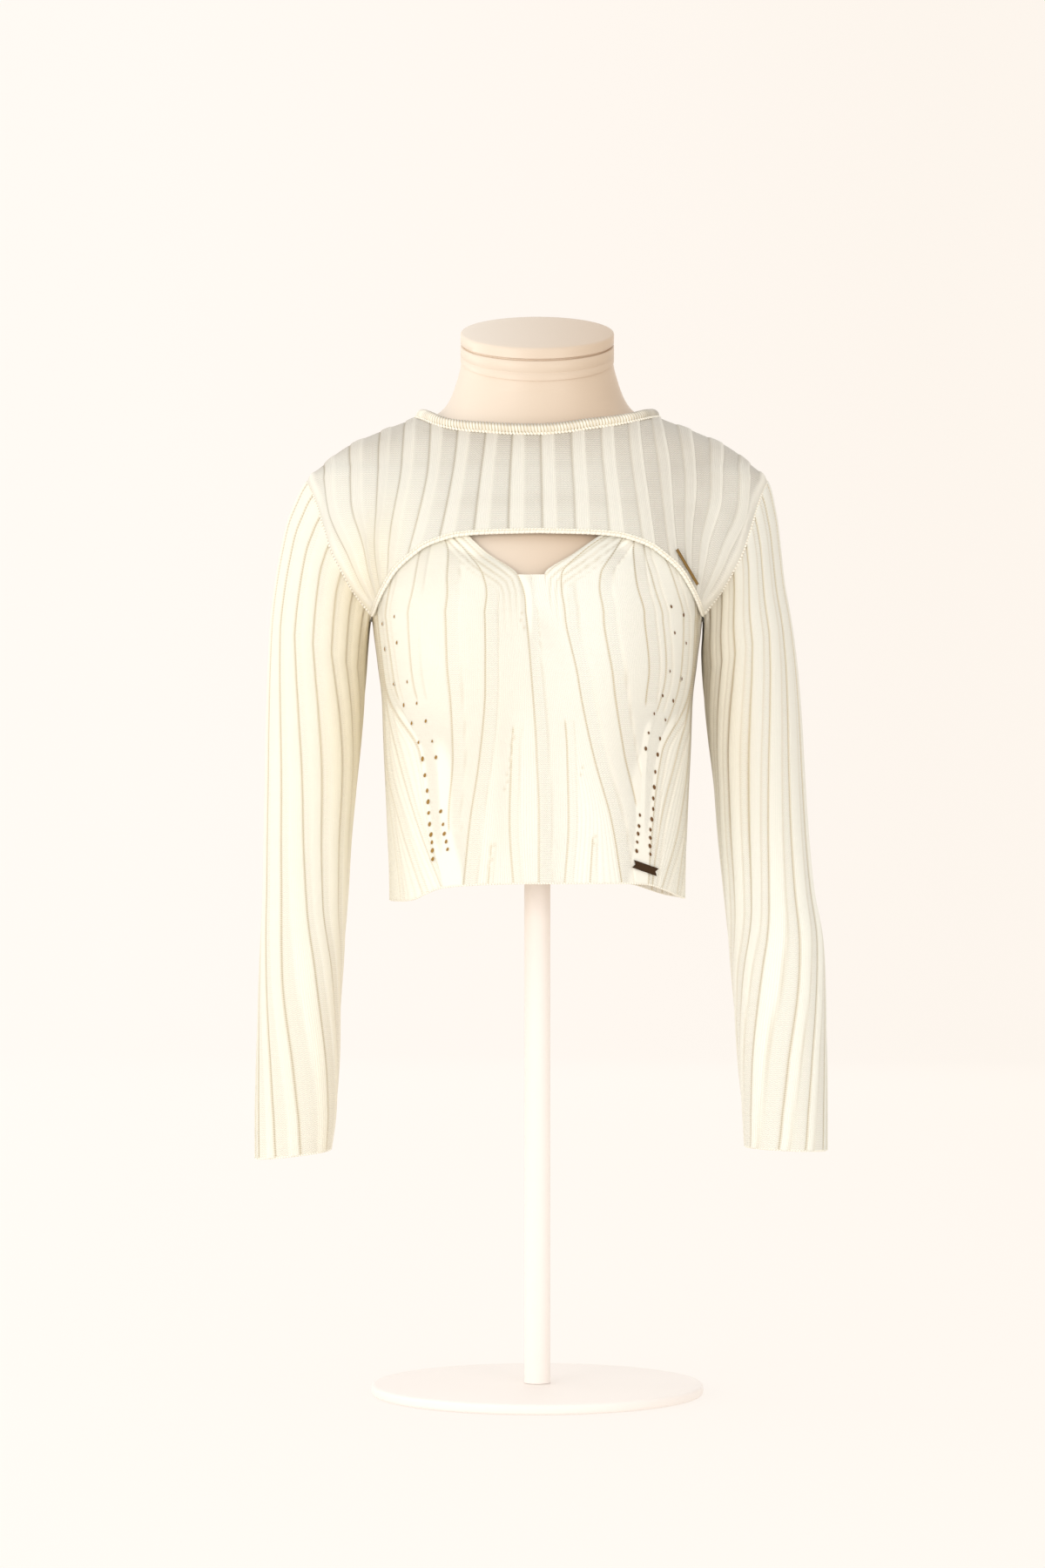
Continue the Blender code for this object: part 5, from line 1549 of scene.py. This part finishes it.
def metal_plate(name, at, size, lift, finish):
    """A pressed plate with swallowtail ends and a rounded rim, bare on its face."""
    base, normal, along, across = skin_frame(*at, math.radians(size["tilt"]))
    half, wide, notch, thick = size["length"] / 2, size["width"] / 2, size["notch"], size["thick"]
    corners = [(-half, -wide), (half, -wide), (half - notch, 0), (half, wide), (-half, wide),
               (-half + notch, 0)]
    steps = np.linspace(0, 1, 9)[:-1]
    outline = looped(np.array([
        (a0 + (a1 - a0) * t, b0 + (b1 - b0) * t)
        for (a0, b0), (a1, b1) in zip(corners, corners[1:] + corners[:1]) for t in steps
    ]))
    rim = size["width"] * 0.09
    rows = [
        (outline * ((half - inset) / half, (wide - inset) / wide), height)
        for inset, height in ((0.0, 0.0), (0.0, thick * 0.75), (rim * 0.35, thick), (rim * 1.6, thick),
                              (rim * 2.1, thick * 0.72))
    ]
    # The face closes along its middle line.
    rows.append((outline * (0.5, 0.02), thick * 0.72))
    rings = [
        base + normal * (lift + height) + flat[:, :1] * along + flat[:, 1:] * across for flat, height in rows
    ]
    maps = np.array([flat for flat, _ in rows])
    made = cap_ends(sheet_of(name, [{"points": np.array(rings), "maps": {"Stitches": maps}}], finish))
    made.data.set_sharp_from_angle(angle=math.radians(35))
    return made


# ---- dress form and stand ----------------------------------------------------------------------------
def form_ring(z, inset, tilt, sides):
    """One ring of the dress form, inside the skin, tilted backwards by an angle in degrees."""
    half_width, front, back, centre_y, square = [float(value) for value in section(z)]
    inset = inset + 2.0 * math.exp(-(((z - 680.0) / 20.0) ** 2))
    turn = np.linspace(0, 2 * math.pi, sides + 1)
    across = np.sign(np.cos(turn)) * np.abs(np.cos(turn)) ** (2 / square)
    ahead = np.sign(np.sin(turn)) * np.abs(np.sin(turn)) ** (2 / square)
    x = (half_width - inset) * across
    depth = np.where(ahead < 0, front, back) - inset
    y = centre_y + depth * ahead
    y = y - np.where(ahead < 0, cup_rise(x, z) * (1 - np.abs(across) ** 6) * np.clip(-ahead * 2, 0, 1), 0)
    if ARM_FRONT_Z < z <= 780.7:
        limit = float(curve(ARMHOLE, z, "z", "x")) - 3.0
        x = np.clip(x, -limit, limit)
    return np.stack([x, y, z + (y - centre_y) * math.tan(math.radians(tilt))], axis=-1)


def closed_rings(name, rings, middle, finish):
    """A shell through rings. Smaller rings close both its ends, so that its flat faces stay smooth."""
    start, end = (
        [ring.mean(axis=0) + (ring - ring.mean(axis=0)) * share for share in np.linspace(1, 0.002, 7)[1:]]
        for ring in (rings[0], rings[-1])
    )
    made = facing_out(sheet_of(name, [{"points": np.array(start[::-1] + rings + end)}], finish), middle)
    made.data.set_sharp_from_angle(angle=math.radians(50))
    return made


def dress_form(finish):
    """The torso with its neck, whose top tilts more and more."""
    tilts = table("z tilt", [(833, 0.0), (845, 5.0), (857, 12.5), (866, 18.0), (872, 20.6)])
    heights = [np.linspace(446, 660, 60), np.linspace(661.5, 780, 40), np.linspace(781.5, 872, 50)]
    rings = [
        form_ring(z, FORM_INSET, float(curve(tilts, z, "z", "tilt")) if z > 833 else 0.0, 128)
        for z in np.unique(np.concatenate(heights))
    ]
    return closed_rings("dress_form", rings, (0, 0, 650), finish)


def neck_cap(finish):
    """The disc on the neck, with a nick near its foot, a groove half way up and an eased top edge."""
    # How far up the disc each ring lies, and how far in from the skin.
    profile = [
        (-0.47, 0.4), (-0.42, 0.2), (0.0, 0.1), (2.9, 0.1), (3.1, 0.4), (3.4, 0.4), (3.6, 0.1), (8.4, 0.1),
        (8.8, 0.3), (9.0, 1.0), (9.2, 2.6), (10.4, 2.6), (10.6, 1.6), (10.8, 0.6), (11.2, 0.2), (15.0, 0.1),
        (18.0, 0.0), (18.9, 0.15), (19.5, 0.6), (19.85, 1.2), (20.0, 2.0),
    ]
    rings = []
    for rise, inset in profile:
        # Above the nick near its foot the disc sits a little flatter.
        flatter = float(eased(0, 8, rise))
        ring = form_ring(872.0, inset, 20.6 - 2.6 * flatter, 128)
        rings.append(ring + (0, 0, 0.5 + rise + 4.0 * flatter))
    return closed_rings("neck_disc", rings, (0, 0, 880), finish)


def turned_sheet(name, profile, finish, sides=128):
    """A turned shape, open at both ends, from its profile of radii and heights in mm."""
    turn = np.linspace(0, 2 * math.pi, sides + 1)
    rings = [
        np.stack([radius * np.cos(turn), radius * np.sin(turn), np.full(len(turn), z)], axis=-1)
        for radius, z in profile
    ]
    return sheet_of(name, [{"points": np.array(rings)}], finish)


def turned_piece(name, profile, finish, sides=128):
    made = cap_ends(turned_sheet(name, profile, finish, sides))
    made.data.set_sharp_from_angle(angle=math.radians(40))
    return made


# ---- settings that a user would change ---------------------------------------------------------------
def colour_setting(name, description, code):
    return bpy.props.FloatVectorProperty(
        name=name, description=description, subtype="COLOR", size=4, min=0, max=1, default=linear(code))


def length_setting(name, description, mm):
    return bpy.props.FloatProperty(name=name, description=description, unit="LENGTH", min=0, default=mm * MM)


def power_setting(name, description, watts):
    return bpy.props.FloatProperty(
        name=name, description=description, unit="POWER", min=0, max=500, default=watts)


class KnitSettings(bpy.types.PropertyGroup):
    # Chosen so that stitches show when rendered. The real knit's stitch size isn't known.
    stitch_width: length_setting("Stitch width", "Across one column of stitches, as drawn", 2.35)
    stitch_height: length_setting("Stitch height", "Up one row of stitches, as drawn", 1.75)
    raised_colour: colour_setting("Raised yarn", "Colour of the raised bands", "#FBF9ED")
    # Painted shade: the colour that shade is painted in, over the purl bands, under the neck, on the right of
    # the cloth and on parts of the edges.
    shade_colour: colour_setting("Recessed yarn", "Colour that the purl bands shade to", "#D6CFC2")
    edge_colour: colour_setting("Edge yarn", "Colour of the linked and rolled edges", "#FEF9EB")
    line_colour: colour_setting("Rib line", "Shade in the line beside each rib", "#C9B384")
    deep_line_colour: colour_setting("Yoke line", "Greyer shade in the lines of the yoke", "#8E8574")
    hole_colour: colour_setting("Eyelet shade", "Shade inside the eyelets", "#A07E46")
    deep_hole_colour: colour_setting("Deep eyelet shade", "Shade inside the eyelets on the right", "#74563A")
    # Painted shade and light: a warm yellow tint for light bounced between the sleeves and the body, and for
    # warmer light low on the left of the yoke and at the sides and left of the inner top.
    painted_warmth_colour: colour_setting("Warm shade", "Tone of the yarn between the sleeves and the body", "#F8E4B6")


class TrimSettings(bpy.types.PropertyGroup):
    hem_plate_length: length_setting("Hem plate length", "From tip to tip of the plate near the hem", 26.0)
    hem_plate_colour: colour_setting("Hem plate", "Bronze of the plate near the hem", "#4A3828")
    yoke_plate_length: length_setting("Yoke bar length", "From end to end of the bar on the yoke", 35.0)
    yoke_plate_colour: colour_setting("Yoke bar", "Old gold of the bar on the yoke", "#8A6E42")


class FormSettings(bpy.types.PropertyGroup):
    shell_colour: colour_setting("Shell", "Beige of the dress form", "#E8D9C7")
    # Painted shade: the beige that the shell darkens to on the right.
    shell_shade_colour: colour_setting("Deeper shell", "The coat's deeper beige on the right", "#CDB69D")
    stand_colour: colour_setting("Stand", "Paint of the pole and base", "#F4ECE5")


class StudioSettings(bpy.types.PropertyGroup):
    backdrop_left: colour_setting("Backdrop left", "Colour of the sweep on the left", "#FEF8F2")
    backdrop_right: colour_setting("Backdrop right", "Colour of the sweep on the right", "#FAF3EB")
    backdrop_glow: bpy.props.FloatProperty(
        name="Backdrop glow", description="Light from behind the sweep", min=0, max=2, default=1.035)
    key_power: power_setting("Key light", "Power of the large light at the front left", 42.0)
    fill_power: power_setting("Fill light", "Power of the light at the front right", 23.0)
    side_power: power_setting("Side light", "Power of the light at the left side", 18.0)
    back_power: power_setting("Back light", "Power of the light behind", 8.0)
    camera_distance: length_setting("Camera distance", "From the camera to the middle of the garment", 4000.0)


def shared(name, make, *values):
    """A material made once and shared by the pieces that are of it."""
    return bpy.data.materials.get(name) or make(name, *values)


def knit_finishes(knit):
    """The two finishes of the yarn: knitted cloth, and linked or rolled edges."""
    return shared("cotton_viscose_rib_knit", rib_knit, knit), shared("linked_knit_edge", linked_edge, knit)


def placed(piece, slot, *nodes):
    """Rides a piece on the row's one body and hides the nodes it stands in for. slot is not used."""
    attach(piece, "root")
    if nodes:
        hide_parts(*nodes)
    return piece


# ---- operators ---------------------------------------------------------------------------------------
class CROPTOP_OT_form(bpy.types.Operator):
    """Build the limbless dress form, its neck disc, pole and base"""

    bl_idname = "croptop.form"
    bl_label = "Dress form and stand"

    def execute(self, context):
        form = context.scene.crop_top_form
        shell = shared("moulded_shell_satin", moulded_shell, form)
        paint = shared("powder_coated_steel", stand_paint, form)
        placed(dress_form(shell), "form_shell", "form_torso")
        placed(neck_cap(shell), "form_shell", "form_neck_cap")
        base = [(137.0, 0.0), (138.6, 0.4), (139.6, 1.3), (140.0, 2.8), (140.0, 6.2), (139.6, 7.7),
                (138.6, 8.6), (137.0, 9.0), (60.0, 9.0), (20.0, 9.0)]
        placed(turned_piece("stand_foot", base, paint), "stand_paint", "stand_base")
        pole = [(11.0, 9.3), (11.0, 445.7)]
        placed(turned_piece("stand_tube", pole, paint, sides=64), "stand_paint", "stand_pole")
        return {"FINISHED"}


class CROPTOP_OT_inner_top(bpy.types.Operator):
    """Knit the inner top's front and back, its hem loops and its eyelets"""

    bl_idname = "croptop.inner_top"
    bl_label = "Inner top"

    def execute(self, context):
        knit = context.scene.crop_top_knit
        rib, edge = knit_finishes(knit)
        hole = shared("eyelet_shade", shaded_hole, knit)
        front = placed(knit_top(-1, rib), "rib_knit", "top_front")
        back = placed(knit_top(1, rib), "rib_knit", "top_back")
        holes, rims = eyelets(hole, edge)
        placed(holes, "rib_knit")
        placed(rims, "rib_knit")
        loops = placed(hem_loops(edge), "edge_knit")
        return {"FINISHED"}


class CROPTOP_OT_yoke(bpy.types.Operator):
    """Knit the yoke's front and back, the piped edges under its arches and its rolled neck edge"""

    bl_idname = "croptop.yoke"
    bl_label = "Yoke"

    def execute(self, context):
        rib, edge = knit_finishes(context.scene.crop_top_knit)
        front = placed(knit_yoke(-1, rib), "rib_knit", "yoke_front")
        back = placed(knit_yoke(1, rib), "rib_knit", "yoke_back")
        front_edge = placed(arch_edge(-1, edge), "edge_knit", "yoke_edge_front")
        back_edge = placed(arch_edge(1, edge), "edge_knit", "yoke_edge_back")
        roll = placed(neck_roll(edge), "edge_knit", "neck_collar")
        foot = placed(collar_links(edge), "edge_knit")
        return {"FINISHED"}


class CROPTOP_OT_sleeves(bpy.types.Operator):
    """Knit both sleeves, their cuff loops and the linking stitches round the armholes"""

    bl_idname = "croptop.sleeves"
    bl_label = "Sleeves"

    def execute(self, context):
        rib, edge = knit_finishes(context.scene.crop_top_knit)
        for side, node in ((-1, "sleeve_left"), (1, "sleeve_right")):
            sleeve = placed(knit_sleeve(side, rib), "rib_knit", node)
            loops = placed(cuff_loops(side, edge), "edge_knit")
            links = placed(armhole_links(side, edge), "edge_knit")
        return {"FINISHED"}


class CROPTOP_OT_plates(bpy.types.Operator):
    """Add the two bare metal plates, one near the hem and one beside the arch"""

    bl_idname = "croptop.plates"
    bl_label = "Metal plates"

    def execute(self, context):
        trim = context.scene.crop_top_trim
        bronze = shared("oxidised_bronze_pressing", struck_metal, trim.hem_plate_colour, 0.32)
        gold = shared("old_gold_pressing", struck_metal, trim.yoke_plate_colour, 0.28)
        hem = {"length": trim.hem_plate_length / MM, "width": 6.5, "thick": 0.8, "notch": 2.6, "tilt": -16.5}
        bar = {"length": trim.yoke_plate_length / MM, "width": 2.4, "thick": 0.9, "notch": 0.6, "tilt": -57.0}
        placed(metal_plate("hem_plate_bronze", (87.0, 445.0), hem, TOP_OUTER + PLATE_LIFT, bronze),
               "bronze", "hem_plate")
        placed(metal_plate("yoke_bar_gold", (120.5, 693.5), bar, YOKE_OUTER + PLATE_LIFT, gold),
               "gold", "yoke_plate")
        return {"FINISHED"}


class CROPTOP_OT_studio(bpy.types.Operator):
    """Set up the paper sweep, the soft lights and the camera"""

    bl_idname = "croptop.studio"
    bl_label = "Studio"

    def execute(self, context):
        studio = context.scene.crop_top_studio
        scene = context.scene
        paper = shared("seamless_paper_sweep", backdrop_paper, studio)
        bend = np.linspace(0, math.pi / 2, 16)
        profile = [(radius, -0.4) for radius in (1.0, 400.0, 1500.0, 3500.0, 5600.0)]
        profile += [(5600 + 1400 * math.sin(t), 1400 * (1 - math.cos(t)) - 0.4) for t in bend[1:]]
        profile += [(7000.0, 3200.0)]
        floor = turned_sheet("paper_sweep", profile, paper)
        facing_out(floor, (0, 0, -9000))
        floor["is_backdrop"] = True

        world = scene.world or bpy.data.worlds.new("studio_air")
        scene.world = world
        world.use_nodes = True
        tree = world.node_tree
        air = tree.nodes["Background"]
        # The studio's own light: warmer and brighter on the left, dimmer overhead and on the right.
        way = add(tree, "SeparateXYZ", [add(tree, "TexCoord", out="Generated")]).node
        across, upward = way.outputs[0], way.outputs[2]
        side = add(tree, "MapRange", (across, -1.0, 1.0, 0.0, 1.0))
        warm_air, cool_air = (1.0, 0.995, 0.985, 1), (0.975, 0.985, 1.0, 1)
        dimmer = add(tree, "MapRange", (across, -1.0, 1.0, 0.88, 0.64))
        overhead = add(tree, "MapRange", (upward, 0.1, 1.0, 1.0, 1.45))
        feed(tree, air, {
            "Color": add(tree, "Mix", {0: side, 6: warm_air, 7: cool_air}, 2, data_type="RGBA"),
            "Strength": add(tree, "Math", (dimmer, overhead), operation="MULTIPLY"),
        })

        for name, place, aim, size, power, colour in (
            ("key_softbox", (-2.5, -3.4, 1.0), (0, 0, 0.6), 1.8, studio.key_power, (1.0, 0.99, 0.97)),
            ("fill_softbox", (1.9, -3.4, 1.0), (0, 0, 0.5), 1.6, studio.fill_power, (0.95, 0.97, 1.0)),
            ("side_softbox", (-3.4, 0.7, 1.1), (0, 0, 0.75), 1.4, studio.side_power, (1.0, 1.0, 1.0)),
            ("back_softbox", (0.8, 4.4, 1.7), (0, 0, 0.6), 2.4, studio.back_power, (1.0, 0.99, 0.97)),
        ):
            lamp = bpy.data.lights.new(name, "AREA")
            lamp.size = size
            lamp.energy = power
            lamp.color = colour
            made = bpy.data.objects.new(name, lamp)
            made.location = place
            made.rotation_euler = (Vector(aim) - Vector(place)).to_track_quat("-Z", "Y").to_euler()
            made.visible_camera = False
            scene.collection.objects.link(made)

        # The lens is as long as keeps the garment the same size from any distance.
        lens = bpy.data.cameras.new("camera")
        lens.sensor_width = 36.0
        lens.lens = 27.2 * studio.camera_distance
        lens.clip_end = 50.0
        camera = bpy.data.objects.new("camera", lens)
        camera.location = (-0.0125, -studio.camera_distance, 0.5145)
        camera.rotation_euler = (math.pi / 2, 0, 0)
        scene.collection.objects.link(camera)
        scene.camera = camera
        scene.view_settings.view_transform = "Standard"
        scene.view_settings.look = "None"
        return {"FINISHED"}


class CROPTOP_PT_panel(bpy.types.Panel):
    """Lists the pieces of the crop top and their settings"""

    bl_idname = "CROPTOP_PT_panel"
    bl_label = "Crop Top"
    bl_space_type = "VIEW_3D"
    bl_region_type = "UI"
    bl_category = "Crop Top"

    def draw(self, context):
        column = self.layout.column()
        for operator in OPERATORS:
            column.operator(operator.bl_idname)
        for group in ("crop_top_knit", "crop_top_trim", "crop_top_form", "crop_top_studio"):
            settings = getattr(context.scene, group)
            for name in settings.__annotations__:
                column.prop(settings, name)


SETTINGS = {
    "crop_top_knit": KnitSettings,
    "crop_top_trim": TrimSettings,
    "crop_top_form": FormSettings,
    "crop_top_studio": StudioSettings,
}
OPERATORS = (
    CROPTOP_OT_form,
    CROPTOP_OT_inner_top,
    CROPTOP_OT_yoke,
    CROPTOP_OT_sleeves,
    CROPTOP_OT_plates,
    CROPTOP_OT_studio,
)


def register():
    for group in SETTINGS.values():
        bpy.utils.register_class(group)
    for name, group in SETTINGS.items():
        setattr(bpy.types.Scene, name, bpy.props.PointerProperty(type=group))
    for operator in OPERATORS:
        bpy.utils.register_class(operator)
    bpy.utils.register_class(CROPTOP_PT_panel)


def unregister():
    bpy.utils.unregister_class(CROPTOP_PT_panel)
    for operator in reversed(OPERATORS):
        bpy.utils.unregister_class(operator)
    for name in SETTINGS:
        delattr(bpy.types.Scene, name)
    for group in reversed(list(SETTINGS.values())):
        bpy.utils.unregister_class(group)


def main():
    register()
    bpy.ops.croptop.form()
    bpy.ops.croptop.inner_top()
    bpy.ops.croptop.yoke()
    bpy.ops.croptop.sleeves()
    bpy.ops.croptop.plates()
    bpy.ops.croptop.studio()
    boxes = {"cad": CAD_BOX, "visual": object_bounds()}
    boxes = {key: [[float(v) for v in corner] for corner in box] for key, box in boxes.items()}


if __name__ == "__main__":
    main()
